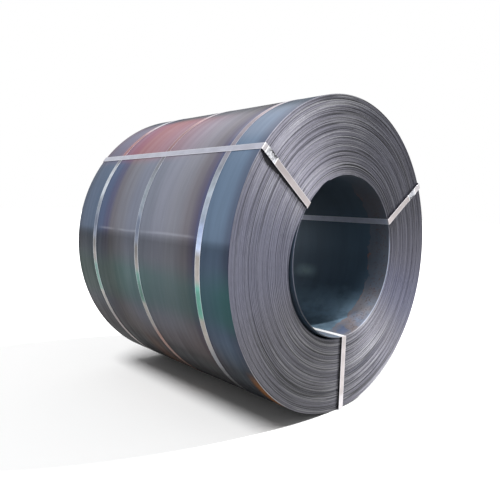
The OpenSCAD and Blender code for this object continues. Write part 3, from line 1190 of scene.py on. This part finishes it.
@dataclass
class WoundPack:
    """All turns but the loose first one, wound as one spiral. Geometry Nodes lay out its skin."""

    sizes: CoilSizes
    columns: int = 150
    tail_angle: float = 317.0
    edge_wander: float = 0.0029
    edge_setback: float = 0.0022
    groove_depth: float = 0.0014
    groove_start: float = 0.78
    groove_width: float = 0.11
    seed: float = 3.0
    opening: LooseOpening = LooseOpening()

    @property
    def inner_radius(self) -> float:
        """Radius on the inside of the pack's first turn."""
        return self.sizes.eye_radius + self.sizes.turn

    @property
    def turns(self) -> int:
        """Number of turns in the pack."""
        return round((self.sizes.outer_radius - self.inner_radius) / self.sizes.turn)

    def mesh(self, finishes: Finishes) -> bpy.types.Mesh:
        """Runs the tree and gives its result as a plain mesh.

        Args:
            finishes: The materials.

        Returns:
            The mesh of the pack.
        """
        values = {"Inner Radius": self.inner_radius, "Outer Radius": self.sizes.outer_radius,
                  "Width": self.sizes.width, "Turns": self.turns, "Columns": self.columns,
                  "Tail Angle": self.tail_angle, "Edge Wander": self.edge_wander,
                  "Edge Setback": self.edge_setback, "Groove Depth": self.groove_depth, "Seed": self.seed,
                  "Edge Finish": finishes.sheared_edge, "Sheet Finish": finishes.outer_sheet,
                  "Wall Finish": finishes.bore_sheet}
        tree = self._tree()
        carrier = bpy.data.objects.new("pack_carrier", bpy.data.meshes.new("pack_carrier"))
        bpy.context.scene.collection.objects.link(carrier)
        modifier = carrier.modifiers.new("wound pack", "NODES")
        modifier.node_group = tree
        for item in tree.interface.items_tree:
            if item.in_out == "INPUT" and item.name in values:
                modifier[item.identifier] = values[item.name]
        bpy.context.view_layer.update()
        evaluated = carrier.evaluated_get(bpy.context.evaluated_depsgraph_get())
        mesh = bpy.data.meshes.new_from_object(evaluated)
        carrier.modifiers.remove(modifier)
        bpy.data.objects.remove(carrier)
        return mesh

    def _tree(self) -> bpy.types.NodeTree:
        """Builds the tree: two end faces, the outside and the wall towards the eye.

        Returns:
            The tree.
        """
        graph, entry, leave = new_group(
            "wound pack",
            [("Geometry", "NodeSocketGeometry", None), ("Inner Radius", "NodeSocketFloat", 0.3),
             ("Outer Radius", "NodeSocketFloat", 0.6), ("Width", "NodeSocketFloat", 1.0),
             ("Turns", "NodeSocketInt", 90), ("Columns", "NodeSocketInt", 120),
             ("Tail Angle", "NodeSocketFloat", 0.0), ("Edge Wander", "NodeSocketFloat", 0.002),
             ("Edge Setback", "NodeSocketFloat", 0.001),
             ("Groove Depth", "NodeSocketFloat", 0.001), ("Seed", "NodeSocketFloat", 0.0),
             ("Edge Finish", "NodeSocketMaterial", None), ("Sheet Finish", "NodeSocketMaterial", None),
             ("Wall Finish", "NodeSocketMaterial", None)],
            [("Geometry", "NodeSocketGeometry")], "GeometryNodeTree")
        sizes = {socket.name: graph.out(entry, socket.name) for socket in entry.outputs if socket.name}
        skins = [self._end_face(graph, sizes, -1.0), self._end_face(graph, sizes, 1.0),
                 self._wall(graph, sizes, True), self._wall(graph, sizes, False)]
        join = graph.node("GeometryNodeJoinGeometry")
        for made in skins:
            graph.tree.links.new(made.socket, join.inputs[0])
        weld = graph.node("GeometryNodeMergeByDistance", {"Geometry": graph.out(join), "Distance": 2e-6})
        real = graph.node("GeometryNodeRealizeInstances", {"Geometry": graph.out(weld)})
        graph.feed(leave.inputs[0], graph.out(real))
        return graph.tree

    def _grid(self, graph: Graph, rows: Signal, columns: Signal) -> tuple[Signal, Signal, Signal]:
        """Adds a flat grid to bend into shape.

        Args:
            graph: The tree.
            rows: Number of points across.
            columns: Number of points round the coil.

        Returns:
            The grid, the row's number and the share of a revolution.
        """
        grid = graph.node("GeometryNodeMeshGrid", {"Size X": 1.0, "Size Y": 1.0, "Vertices X": rows,
                                                   "Vertices Y": columns})
        x, y, _ = graph.split(graph.out(graph.node("GeometryNodeInputPosition")))
        row = graph.math("ROUND", (x + 0.5) * (rows - 1.0))
        return graph.out(grid, "Mesh"), row, y + 0.5

    def _radius(self, graph: Graph, sizes: dict[str, Signal], boundary: Signal, share: Signal) -> Signal:
        """Gives the radius of a boundary between two turns.

        Args:
            graph: The tree.
            sizes: The tree's named inputs.
            boundary: The boundary's number, counted outwards, with fractions inside a turn.
            share: The share of a revolution, counted from the tail.

        Returns:
            The radius on the end face.
        """
        inner, outer, turns = sizes["Inner Radius"], sizes["Outer Radius"], sizes["Turns"]
        pitch = (outer - inner) / turns
        spiral = outer - pitch * (turns - boundary) - pitch * (1.0 - share)
        settle = pitch * (1.0 - share) - pitch * graph.math("EXPONENT", share * -30.0)
        outer_part = graph.ramp(boundary, turns - 20.0, turns, style="LINEAR")
        return graph.math("MAXIMUM", spiral + settle * outer_part, inner)

    def _gap(self, graph: Graph, sizes: dict[str, Signal], share: Signal) -> Signal:
        """Gives the width of the crescent behind the loose turn.

        Args:
            graph: The tree.
            sizes: The tree's named inputs.
            share: The share of a revolution, counted from the tail.

        Returns:
            The width, which is 0 where the turn lies against the pack.
        """
        turned = sizes["Tail Angle"] + share * 360.0 - self.opening.direction
        sideways = graph.sine(turned) * self.opening.circle_shift
        reach = graph.cosine(turned) * self.opening.circle_shift \
            + graph.math("SQRT", self.opening.circle_radius ** 2 - sideways * sideways)
        return graph.math("MAXIMUM", reach - sizes["Inner Radius"], 0.0)

    def _level(self, graph: Graph, sizes: dict[str, Signal], turn: Signal, side: float) -> Signal:
        """Gives how far a turn stands out of the end face, from its place along the strip.

        Args:
            graph: The tree.
            sizes: The tree's named inputs.
            turn: The place along the strip, in turns.
            side: -1 for the front face, 1 for the back face.

        Returns:
            The height over the nominal face.
        """
        start = turn + sizes["Seed"] * 7.3 + 50.0 * side
        slow = (graph.line_noise(start, 0.17) - 0.5) * 0.7
        quick = (graph.line_noise(start + 31.0, 2.37, 1.5) - 0.5) * 1.3
        level = graph.math("MINIMUM", graph.math("MAXIMUM", slow + quick, -1.0), 1.0)
        return level * sizes["Edge Wander"] - sizes["Edge Setback"]

    def _place(self, graph: Graph, sizes: dict[str, Signal], radius: Signal, share: Signal,
               along: Signal) -> Signal:
        """Gives a point on the coil.

        Args:
            graph: The tree.
            sizes: The tree's named inputs.
            radius: The point's distance from the axis.
            share: The share of a revolution, counted from the tail.
            along: The place along the coil.

        Returns:
            The point.
        """
        turned = sizes["Tail Angle"] + share * 360.0
        return graph.vector(radius * graph.cosine(turned), along, radius * graph.sine(turned))

    def _dress(self, graph: Graph, mesh: Signal, place: Signal, turn: Signal, groove: Signal,
               material: Signal) -> Signal:
        """Moves a grid's points into place, notes what the finish needs and sets the material.

        Args:
            graph: The tree.
            mesh: The grid.
            place: Where each point goes.
            turn: Place along the strip, in turns.
            groove: 1 at the bottom of a groove, 0 on an edge.
            material: The material.

        Returns:
            The dressed mesh.
        """
        kept = mesh
        for name, value in (("turn", turn), ("groove", groove)):
            store = graph.node("GeometryNodeStoreNamedAttribute", {"Geometry": kept, "Name": name},
                               data_type="FLOAT", domain="POINT")
            graph.feed(store.inputs["Value"], value)
            kept = graph.out(store)
        moved = graph.node("GeometryNodeSetPosition", {"Geometry": kept, "Position": place})
        dressed = graph.node("GeometryNodeSetMaterial", {"Geometry": graph.out(moved), "Material": material})
        return graph.out(dressed)

    def _end_face(self, graph: Graph, sizes: dict[str, Signal], side: float) -> Signal:
        """Lays out one end face, three rows of points to a turn.

        Args:
            graph: The tree.
            sizes: The tree's named inputs.
            side: -1 for the front face, 1 for the back face.

        Returns:
            The mesh of the face.
        """
        turns = sizes["Turns"]
        mesh, row, share = self._grid(graph, turns * 3.0 + 1.0, sizes["Columns"] + 1.0)
        boundary = graph.math("FLOOR", (row + 0.1) / 3.0)
        step = row - boundary * 3.0
        inside = graph.math("LESS_THAN", boundary, turns - 1.5)
        top = graph.math("MINIMUM", step, 1.0) * self.groove_start
        bottom = graph.math("MAXIMUM", step - 1.0, 0.0)
        number = graph.math("MINIMUM", boundary, turns - 1.0)
        turn = number + share
        radius = self._radius(graph, sizes, boundary + top + bottom * self.groove_width, share)
        level = self._level(graph, sizes, turn, side)
        following = self._level(graph, sizes, turn + 1.0, side)
        deep = graph.ramp(graph.line_noise(turn + 91.0, 0.83), 0.55, 0.75, 1.0, 2.6)
        floor_level = graph.math("MINIMUM", level, following) - sizes["Groove Depth"] * deep
        groove = bottom * inside
        height = level + (floor_level - level) * groove
        gap = self._gap(graph, sizes, share)
        if side < 0:
            beyond = radius - sizes["Inner Radius"]
            crowded = graph.ramp(beyond, 0.0, self.opening.crowding, 1.0, 0.0, "LINEAR")
            sunk = graph.ramp(beyond, 0.0, self.opening.sinking, 1.0, 0.0) * gap * self.opening.slope
            radius = radius + gap * crowded
            height = height - sunk
        along = (sizes["Width"] * 0.5 + height) * side
        place = self._place(graph, sizes, radius, share, along)
        return self._dress(graph, mesh, place, turn + groove * 0.5, groove, sizes["Edge Finish"])

    def _wall(self, graph: Graph, sizes: dict[str, Signal], outside: bool) -> Signal:
        """Lays out the outside of the pack or its wall towards the eye.

        Args:
            graph: The tree.
            sizes: The tree's named inputs.
            outside: True for the outside.

        Returns:
            The mesh of the wall.
        """
        turns = sizes["Turns"]
        last = 18.0 if outside else 15.0
        mesh, row, share = self._grid(graph, graph.number(last + 1.0), sizes["Columns"] + 1.0)
        boundary = turns if outside else graph.number(0.0)
        turn = graph.math("MINIMUM", boundary, turns - 1.0) + share
        radius = self._radius(graph, sizes, boundary, share)
        half = sizes["Width"] * 0.5
        front = (half + self._level(graph, sizes, turn, -1.0)) * -1.0
        back = half + self._level(graph, sizes, turn, 1.0)
        if outside:
            along = front + (back - front) * (row / last)
        else:
            gap = self._gap(graph, sizes, share)
            front = front + gap * self.opening.slope
            into = graph.ramp(row, 0.0, 6.0, 0.0, 1.0, "LINEAR")
            deeper = graph.ramp(row, 6.0, last, 0.0, 1.0, "LINEAR")
            level_end = half * -1.0 + self.opening.depth
            along = front + (level_end - front) * into + (back - level_end) * deeper
            radius = radius + gap * graph.math("SQRT", 1.0 - into * into)
        place = self._place(graph, sizes, radius, share, along)
        finish = sizes["Sheet Finish"] if outside else sizes["Wall Finish"]
        return self._dress(graph, mesh, place, turn, graph.number(0.0), finish)


@dataclass
class LooseTurn:
    """The first turn, sprung away from the rest at the lower left, with its cut end at the upper left."""

    sizes: CoilSizes
    slack: float = 0.0001
    columns: int = 180
    head_angle: float = 114.5
    head_step: float = 0.0024
    bevel: float = 0.0006
    steps: int = 14

    def _front_nick(self, angle: float) -> float:
        """Gives how far the front edge is torn back.

        Args:
            angle: The direction from the eye's middle, in degrees.

        Returns:
            The depth of the tear.
        """
        nick = 0.004 * smooth_step(114.0, 116.5, angle) * (1 - smooth_step(121.0, 129.0, angle))
        nick += 0.003 * smooth_step(96.0, 98.0, angle) * (1 - smooth_step(101.0, 103.0, angle))
        wave = noise.noise(around(angle, 6.0, 0.0).xzy + Vector((0.0, 0.0, 4.0)))
        return max(0.0, nick + 0.0006 * wave)

    def mesh(self, finishes: Finishes) -> bpy.types.Mesh:
        """Builds the turn as a closed ring.

        Args:
            finishes: The materials.

        Returns:
            The mesh of the ring.
        """
        angles = sorted([360 * i / self.columns for i in range(self.columns)]
                        + [self.head_angle - 0.03, self.head_angle + 0.03])
        rows = [self._section(angle) for angle in angles]
        count = len(rows[0])
        ends = (self.steps + 1, self.steps + 2, count - 3, count - 2, count - 1)

        def slot_of(_: int, column: int) -> int:
            """Puts the edge's finish on both ends and the wall's finish elsewhere."""
            return 1 if column in ends else 0

        return skin("loose_turn", rows, [finishes.bore_sheet, finishes.sheared_edge], True, True, slot_of)

    def _section(self, angle: float) -> list[Vector]:
        """Gives the turn's section at an angle in degrees, from the front edge along the eye and back.

        Args:
            angle: Where the section lies.

        Returns:
            Points all the way round the section.
        """
        past = angle - self.head_angle
        inner = self.sizes.eye_radius + (self.head_step * math.exp(-past / 7.0) if past > 0 else 0.0)
        outer = self.sizes.eye_radius + self.sizes.turn - self.slack
        back = self.sizes.width / 2
        front = self._front_nick(angle) - back
        ease = 0.0002
        length = back - front - 2 * self.bevel
        row = [around(angle, inner, front + self.bevel + length * (i / self.steps) ** 1.3)
               for i in range(self.steps + 1)]
        row += [around(angle, inner + self.bevel, back), around(angle, outer - ease, back),
                around(angle, outer, back - self.bevel)]
        row += [around(angle, outer, back + (front - back) * share) for share in (0.3, 0.6, 0.86, 0.95)]
        row += [around(angle, outer, front + ease), around(angle, outer - ease, front),
                around(angle, inner + self.bevel, front)]
        return row


@dataclass
class Coil:
    """The wound coil: the pack of turns and the loose first turn."""

    pack: WoundPack
    first_turn: LooseTurn

    def build(self, finishes: Finishes) -> None:
        """Builds the coil and lets it stand for its CAD node.

        Args:
            finishes: The materials.
        """
        pack = piece("coil_pack", [self.pack.mesh(finishes)], fill_holes=True)
        ring = self.first_turn.mesh(finishes)
        made = piece("wound_coil", [pack.data.copy(), ring])
        bpy.data.objects.remove(pack)
        deliver(made, "coil")


@dataclass
class Station:
    """One cross section of a strap: the middle of its inner side, its width and its outward direction."""

    middle: Vector
    sideways: Vector
    outward: Vector

    def corners(self, strapping: Strapping, lift: float = 0.0) -> list[Vector]:
        """Gives the section's corners, with edges eased a little.

        Args:
            strapping: The strap's sizes.
            lift: How far the section stands off.

        Returns:
            Ten points round the section.
        """
        half, thick = strapping.width / 2, strapping.thickness
        ease = 0.0002
        flat = [(-half + ease, 0.0), (half - ease, 0.0), (half, ease), (half, thick - ease),
                (half - ease, thick), (half - strapping.edge, thick), (-half + strapping.edge, thick),
                (-half + ease, thick), (-half, thick - ease), (-half, ease)]
        return [self.middle + self.sideways * a + self.outward * (b + lift) for a, b in flat]


def strip(name: str, stations: Sequence[Station], strapping: Strapping, material: bpy.types.Material,
          closed: bool, lift: float = 0.0) -> bpy.types.Mesh:
    """Makes a length of strap through a row of sections, marked along its edges, where the finish paints a
    highlight.

    Args:
        name: What the mesh is called.
        stations: The sections.
        strapping: The strap's sizes.
        material: The strap's finish.
        closed: Whether the last section joins on to the first.
        lift: How far the strap stands off its sections.

    Returns:
        The mesh.
    """
    rows = [station.corners(strapping, lift) for station in stations]
    # Marks both edges for the painted highlight.
    edge = [0.0 if column in (5, 6) else 1.0 for column in range(len(rows[0]))]
    return skin(name, rows, [material], closed, True, marks={"edge": edge * len(rows)})


@dataclass
class Band:
    """A strap round the outside of the coil, doubled where it is sealed."""

    node: str
    along: float
    skew: tuple[tuple[float, float, float], ...]
    strapping: Strapping
    seat: float = 0.5902
    columns: int = 150
    seal_angle: float = 62.0
    end_steps: int = 12

    def _station(self, angle: float) -> Station:
        """Gives the strap's section at an angle in degrees, pulled aside where the strap lies skew.

        Args:
            angle: Where the section lies.

        Returns:
            The section.
        """
        pull = 0.0
        for middle, reach, aside in self.skew:
            apart = abs((angle - middle + 180.0) % 360.0 - 180.0)
            pull += aside * (1.0 - smooth_step(0.0, reach, apart))
        outward = around(angle, 1.0, 0.0)
        return Station(around(angle, self.seat, self.along + pull), Vector((0, 1, 0)), outward)

    def seal_station(self, run: float) -> Station:
        """Gives a section along the tangent at the seal's middle.

        Args:
            run: Distance from the seal's middle.

        Returns:
            The section.
        """
        outward = around(self.seal_angle, 1.0, 0.0)
        heading = around(self.seal_angle + 90, 1.0, 0.0)
        middle = outward * self.seat + heading * run + Vector((0, self.along, 0))
        return Station(middle, Vector((0, 1, 0)), outward)

    def build(self, finishes: Finishes) -> None:
        """Builds the band and lets it stand for its CAD node.

        Args:
            finishes: The materials.
        """
        stations = [self._station(360 * i / self.columns) for i in range(self.columns)]
        loop = strip(self.node, stations, self.strapping, finishes.band_zinc, True)
        span = math.degrees((self.strapping.seal_length / 2 + self.strapping.tail) / self.seat)
        stations = [self._station(self.seal_angle + span * (2 * i / self.end_steps - 1))
                    for i in range(self.end_steps + 1)]
        end = strip(self.node + "_end", stations, self.strapping, finishes.band_zinc, False,
                    self.strapping.thickness + self.strapping.ply_gap)
        made = piece(self.node + "_strap", [loop, end], fill_holes=True)
        deliver(made, self.node)


@dataclass
class EyeStrap:
    """A strap threaded through the eye and closed over the outside of the coil."""

    place: str
    rim_angle: float
    eye_angle: float
    seal_in_front: bool
    seal_drop: float
    sizes: CoilSizes
    strapping: Strapping
    outer_seat: float = 0.5912
    eye_seat: float = 0.30454
    face_seat: float = 0.5052
    run_end: float = 0.49
    face_margin: float = 0.008
    run_steps: int = 20
    face_steps: int = 12
    bend_steps: int = 5
    end_steps: int = 8

    @property
    def node(self) -> str:
        """Name of the strap's CAD node."""
        return "eye_strap_" + self.place

    def _down_the_face(self, distance: float, side: int) -> Station:
        """Gives the strap's section on an end face.

        Args:
            distance: How far it lies from the rim.
            side: -1 for the front face, 1 for the back face.

        Returns:
            The section.
        """
        rim = around(self.rim_angle, self.sizes.outer_radius, 0.0)
        eye = around(self.eye_angle, self.sizes.eye_radius, 0.0)
        heading = (eye - rim).normalized()
        outward = Vector((0, side, 0))
        middle = rim + heading * distance
        middle.y = side * self.face_seat
        return Station(middle, outward.cross(heading).normalized(), outward)

    def seal_station(self, run: float) -> Station:
        """Gives a section down the face that carries the seal.

        Args:
            run: Distance from the seal's middle.

        Returns:
            The section.
        """
        return self._down_the_face(self.seal_drop + run, -1 if self.seal_in_front else 1)

    def _corner(self, angle: float, seat: float, side: int, outside: bool) -> list[Station]:
        """Gives the sections of one bend over the coil's edge.

        Args:
            angle: Direction of the strap at the bend.
            seat: Radius of the strap's inner side on the run that the bend leads to.
            side: -1 for the front face, 1 for the back face.
            outside: True at the rim, False at the eye.

        Returns:
            The sections, from the run along the coil to the face.
        """
        bend = self.strapping.bend_radius
        away = around(angle, 1.0, 0.0) * (1 if outside else -1)
        sideways = around(angle + 90, 1.0, 0.0)
        centre = around(angle, seat, 0.0) - away * bend + Vector((0, side * (self.face_seat - bend), 0))
        stations = []
        for i in range(self.bend_steps + 1):
            turned = math.pi / 2 * i / self.bend_steps
            outward = away * math.cos(turned) + Vector((0, side, 0)) * math.sin(turned)
            stations.append(Station(centre + outward * bend, sideways, outward))
        return stations

    def _run(self, angle: float, seat: float, outside: bool) -> list[Station]:
        """Gives the sections of one straight run along the coil.

        Args:
            angle: Direction of the run from the coil's axis.
            seat: Radius of the strap's inner side.
            outside: True for the run over the barrel, which goes to the front, False for the one
                through the eye, which goes to the back.

        Returns:
            The sections between the two bends.
        """
        way = -1 if outside else 1
        sideways = around(angle + 90, 1.0, 0.0)
        places = [way * self.run_end * (2 * i / self.run_steps - 1) for i in range(1, self.run_steps)]
        return [Station(around(angle, seat, along), sideways, around(angle, -way, 0.0)) for along in places]

    def _face(self, side: int) -> list[Station]:
        """Gives the sections down an end face, all with the same side up.

        Args:
            side: -1 for the front face, 1 for the back face.

        Returns:
            The sections from the rim to the eye.
        """
        upper = around(self.rim_angle + 90, 1.0, 0.0)
        span = self.sizes.outer_radius - self.sizes.eye_radius - 2 * self.face_margin
        stations = [self._down_the_face(self.face_margin + span * i / self.face_steps, side)
                    for i in range(1, self.face_steps)]
        for station in stations:
            if station.sideways.dot(upper) < 0:
                station.sideways = -station.sideways
        return stations

    def _loop(self) -> list[Station]:
        """Gives all the sections round the strap's closed loop.

        Returns:
            The sections over the barrel, down the front, through the eye and up the back.
        """
        loop = self._run(self.rim_angle, self.outer_seat, True)
        loop += self._corner(self.rim_angle, self.outer_seat, -1, True)
        loop += self._face(-1)
        loop += reversed(self._corner(self.eye_angle, self.eye_seat, -1, False))
        loop += self._run(self.eye_angle, self.eye_seat, False)
        loop += self._corner(self.eye_angle, self.eye_seat, 1, False)
        loop += reversed(self._face(1))
        loop += reversed(self._corner(self.rim_angle, self.outer_seat, 1, True))
        return loop

    def build(self, finishes: Finishes) -> None:
        """Builds the strap and lets it stand for its CAD node.

        Args:
            finishes: The materials.
        """
        loop = strip(self.node, self._loop(), self.strapping, finishes.strap_zinc, True)
        start = -self.strapping.seal_length / 2
        length = self.strapping.seal_length + self.strapping.tail
        stations = [self.seal_station(start + length * i / self.end_steps) for i in range(self.end_steps + 1)]
        end = strip(self.node + "_end", stations, self.strapping, finishes.strap_zinc, False,
                    self.strapping.thickness + self.strapping.ply_gap)
        made = piece(self.node + "_loop", [loop, end], fill_holes=True)
        deliver(made, self.node)


class Crimp(Enum):
    """How neatly a seal was crimped."""

    NEAT = "neat"
    CRUMPLED = "crumpled"


@dataclass
class Seal:
    """A steel sleeve over two strap ends, pinched by two pairs of crimp notches."""

    node: str
    crimp: Crimp
    strapping: Strapping
    play: float = 0.0002
    wall: float = 0.0009
    least_wall: float = 0.00015
    shoulder: float = 0.0009
    notch_depth: float = 0.0032
    notch_reach: float = 0.0045
    notch_share: float = 0.2
    lip: float = 0.0022
    steps: int = 32

    def _pinch(self, run: float) -> float:
        """Gives how deep the sides are pinched, from 0 to 1.

        Args:
            run: Distance from the middle of the sleeve.

        Returns:
            The share of the notches' depth.
        """
        notch = self.strapping.seal_length * self.notch_share
        return sum(max(0.0, 1 - abs(run - side * notch) / self.notch_reach) for side in (-1, 1))

    def _top(self, run: float, aside: float, across: float) -> float:
        """Gives how far the sleeve's top is pressed in.

        Args:
            run: Distance from the middle of the sleeve.
            aside: Share of the way from the middle line to the side.
            across: Distance sideways.

        Returns:
            The depth, which is 0 along both lips.
        """
        inside = smooth_step(0.0, self.lip * 2, self.strapping.seal_length / 2 - abs(run))
        depth = 0.00025 + 0.00045 * self._pinch(run) * smooth_step(0.2, 0.9, aside)
        if self.crimp is Crimp.CRUMPLED:
            fold = abs(noise.noise(Vector((run * 70, across * 62, 5.0))))
            slope = noise.noise(Vector((run * 95, across * 85, 9.0)))
            depth += 0.0005 * (1 - smooth_step(0.0, 0.13, fold)) + 0.0004 * max(0.0, slope + 0.1)
        return min(depth * inside, self.wall - self.least_wall)

    def _outline(self, run: float) -> list[tuple[float, float, float]]:
        """Gives the sleeve's section at a place along it.

        Args:
            run: Distance from the middle of the sleeve.

        Returns:
            Points all the way round, each as distance sideways, height over the strap's seat and how
            much painted shade it gets, from 0 to 1.
        """
        half_in = self.strapping.width / 2 + self.play
        half_out = half_in + self.wall
        ceiling = 2 * self.strapping.thickness + self.play
        top = ceiling + self.wall
        pull = self._pinch(run) * self.notch_depth
        side, inner_side = half_out - pull, half_in - pull
        outline = [(-side, 0.0, 0.3), (-side, top - self.shoulder, 0.1)]
        for share in (-0.97, -0.8, -0.6, -0.4, -0.2, 0.0, 0.2, 0.4, 0.6, 0.8, 0.97):
            across = share * side
            depth = self._top(run, abs(across) / half_in, across)
            height = top - depth - (0.0003 if abs(share) > 0.9 else 0.0)
            # Painted shade in the dents of a crumpled seal, stronger towards one side.
            shaded = smooth_step(-0.2, 0.8, share) if self.crimp is Crimp.CRUMPLED else 0.5
            outline.append((across, height, min(1.0, max(0.0, depth - 0.0003) * 4200) * shaded))
        outline += [(side, top - self.shoulder, 0.1), (side, 0.0, 0.3), (inner_side, 0.0, 1.0),
                    (inner_side, ceiling, 1.0), (0.0, ceiling, 1.0), (-inner_side, ceiling, 1.0),
                    (-inner_side, 0.0, 1.0)]
        return outline

    def build(self, seat: Callable[[float], Station], finishes: Finishes) -> None:
        """Builds the seal and lets it stand for its CAD node.

        Args:
            seat: Gives the strap's section at a distance from the seal's middle.
            finishes: The materials.
        """
        length = self.strapping.seal_length
        rows: list[list[Vector]] = []
        dent_shades: list[float] = []
        lip_highlights: list[float] = []
        for i in range(self.steps + 1):
            run = length * (i / self.steps - 0.5)
            station = seat(run)
            outline = self._outline(run)
            rows.append([station.middle + station.sideways * across + station.outward * height
                         for across, height, _ in outline])
            dent_shades += [dark for _, _, dark in outline]
            # Painted highlight along both lips of the sleeve.
            lip_highlights += [smooth_step(-self.lip * 2, -self.lip * 1.4, abs(run) - length / 2)] * len(outline)
        sleeve = skin(self.node, rows, [finishes.seal_zinc], False, True,
                      marks={"crease_painted_light_and_shade": dent_shades, "edge": lip_highlights})
        made = piece(self.node + "_sleeve", [sleeve], sharp=12.0, fill_holes=True)
        deliver(made, self.node)


@dataclass(frozen=True)
class Lamp:
    """One distant lamp: where it stands, how strong it is and how many degrees wide it looks."""

    name: str
    towards: tuple[float, float, float]
    level: float
    softness: float


@dataclass
class Studio:
    """Floor, light and camera."""

    floor_level: float = -0.592
    floor_size: float = 60.0
    floor_grey: float = 0.5
    sky_level: float = 0.33
    lamps: tuple[Lamp, ...] = (Lamp("top_light", (-0.50, -0.12, 0.86), 2.5, 20.0),
                               Lamp("key_light", (0.60, -0.40, 0.69), 4.2, 2.0))
    lens: float = 35.37
    camera_place: tuple[float, float, float] = (-1.53622, -1.56961, 0.18624)
    camera_right: tuple[float, float, float] = (0.72207, -0.69110, 0.03153)
    camera_up: tuple[float, float, float] = (0.04186, 0.08913, 0.99514)

    @staticmethod
    def _white_for_looks(graph: Graph, plain: float) -> Signal:
        """Gives white for what the camera sees and metal mirrors.

        Args:
            graph: The tree of the floor or the world.
            plain: The level for light on the object.

        Returns:
            1 for looks and the plain level for light.
        """
        path = graph.node("ShaderNodeLightPath")
        mirrored = graph.math("MAXIMUM", graph.out(path, "Is Glossy Ray"),
                              graph.out(path, "Is Transmission Ray"))
        seen = graph.math("MAXIMUM", graph.out(path, "Is Camera Ray"), mirrored)
        return seen * (1.0 - plain) + plain

    def _floor(self) -> None:
        """Lays a plain pale floor."""
        half = self.floor_size / 2
        corners = [Vector((x, y, self.floor_level)) for x, y in
                   ((-half, -half), (half, -half), (half, half), (-half, half))]
        mesh = bpy.data.meshes.new("floor")
        mesh.from_pydata(corners, [], [(0, 1, 2, 3)])
        floor = bpy.data.objects.new("floor", mesh)
        bpy.context.scene.collection.objects.link(floor)
        material = bpy.data.materials.new("pale_floor")
        material.use_nodes = True
        graph = Graph(material.node_tree)
        graph.tree.nodes.clear()
        grey = self._white_for_looks(graph, self.floor_grey)
        colour = graph.vector(grey, grey, grey)
        shader = graph.node("ShaderNodeBsdfDiffuse", {"Color": colour, "Roughness": 0.0})
        leave = graph.node("ShaderNodeOutputMaterial")
        graph.tree.links.new(shader.outputs[0], leave.inputs["Surface"])
        mesh.materials.append(material)

    def _world(self) -> None:
        """Surrounds the scene with even light, and white where it is looked at."""
        world = bpy.data.worlds.new("studio")
        world.use_nodes = True
        bpy.context.scene.world = world
        graph = Graph(world.node_tree)
        graph.tree.nodes.clear()
        level = self._white_for_looks(graph, self.sky_level)
        shader = graph.node("ShaderNodeBackground", {"Color": (1.0, 1.0, 1.0, 1.0), "Strength": level})
        leave = graph.node("ShaderNodeOutputWorld")
        graph.tree.links.new(shader.outputs[0], leave.inputs["Surface"])

    @staticmethod
    def _hang(lamp: Lamp) -> None:
        """Adds one soft distant lamp.

        Args:
            lamp: The lamp.
        """
        light = bpy.data.lights.new(lamp.name, "SUN")
        light.energy = lamp.level
        light.angle = math.radians(lamp.softness)
        made = bpy.data.objects.new(lamp.name, light)
        made.rotation_euler = Vector(lamp.towards).to_track_quat("Z", "Y").to_euler()
        bpy.context.scene.collection.objects.link(made)

    def _camera(self) -> None:
        """Places the camera as the photographer stood."""
        camera = bpy.data.cameras.new("camera")
        camera.lens = self.lens
        camera.sensor_width = 36.0
        camera.clip_end = 200.0
        made = bpy.data.objects.new("camera", camera)
        right, up = Vector(self.camera_right), Vector(self.camera_up)
        turned = Matrix((right, up, right.cross(up))).transposed().to_4x4()
        made.matrix_world = Matrix.Translation(Vector(self.camera_place)) @ turned
        bpy.context.scene.collection.objects.link(made)
        bpy.context.scene.camera = made

    def build(self) -> None:
        """Builds the whole studio."""
        self._floor()
        self._world()
        for lamp in self.lamps:
            self._hang(lamp)
        self._camera()
        bpy.context.scene.view_settings.view_transform = "Standard"
        log.info("studio: floor, %d lamps, camera", len(self.lamps))


def build_strapping(sizes: CoilSizes, strapping: Strapping, finishes: Finishes) -> None:
    """Builds all bands, eye straps and seals.

    Args:
        sizes: The coil's main sizes.
        strapping: The strapping's sizes.
        finishes: The materials.
    """
    bands = (Band("band_front", -0.348, ((158.0, 34.0, -0.007), (232.0, 52.0, 0.030)), strapping),
             Band("band_middle", 0.018, ((240.0, 70.0, -0.021),), strapping),
             Band("band_back", 0.346, ((157.0, 20.0, 0.003), (235.0, 60.0, -0.017)), strapping))
    for band in bands:
        band.build(finishes)
        Seal("seal_" + band.node, Crimp.NEAT, strapping).build(band.seal_station, finishes)
    straps = (EyeStrap("left", 142.0, 142.0, True, 0.040, sizes, strapping),
              EyeStrap("right", 29.5, 25.5, True, 0.078, sizes, strapping),
              EyeStrap("bottom", 270.0, 270.0, False, 0.060, sizes, strapping))
    for strap in straps:
        strap.build(finishes)
        crimp = Crimp.CRUMPLED if strap.seal_in_front else Crimp.NEAT
        Seal("seal_" + strap.place, crimp, strapping).build(strap.seal_station, finishes)


def main() -> None:
    """Builds the finishes, the coil, its strapping and the studio, in that order."""
    logging.basicConfig(level=logging.INFO, format="%(name)s: %(message)s")
    sizes = CoilSizes()
    strapping = Strapping()
    finishes = Finishes.build(sizes, strapping)
    Coil(WoundPack(sizes), LooseTurn(sizes)).build(finishes)
    build_strapping(sizes, strapping, finishes)
    Studio().build()


if __name__ == "__main__":
    main()
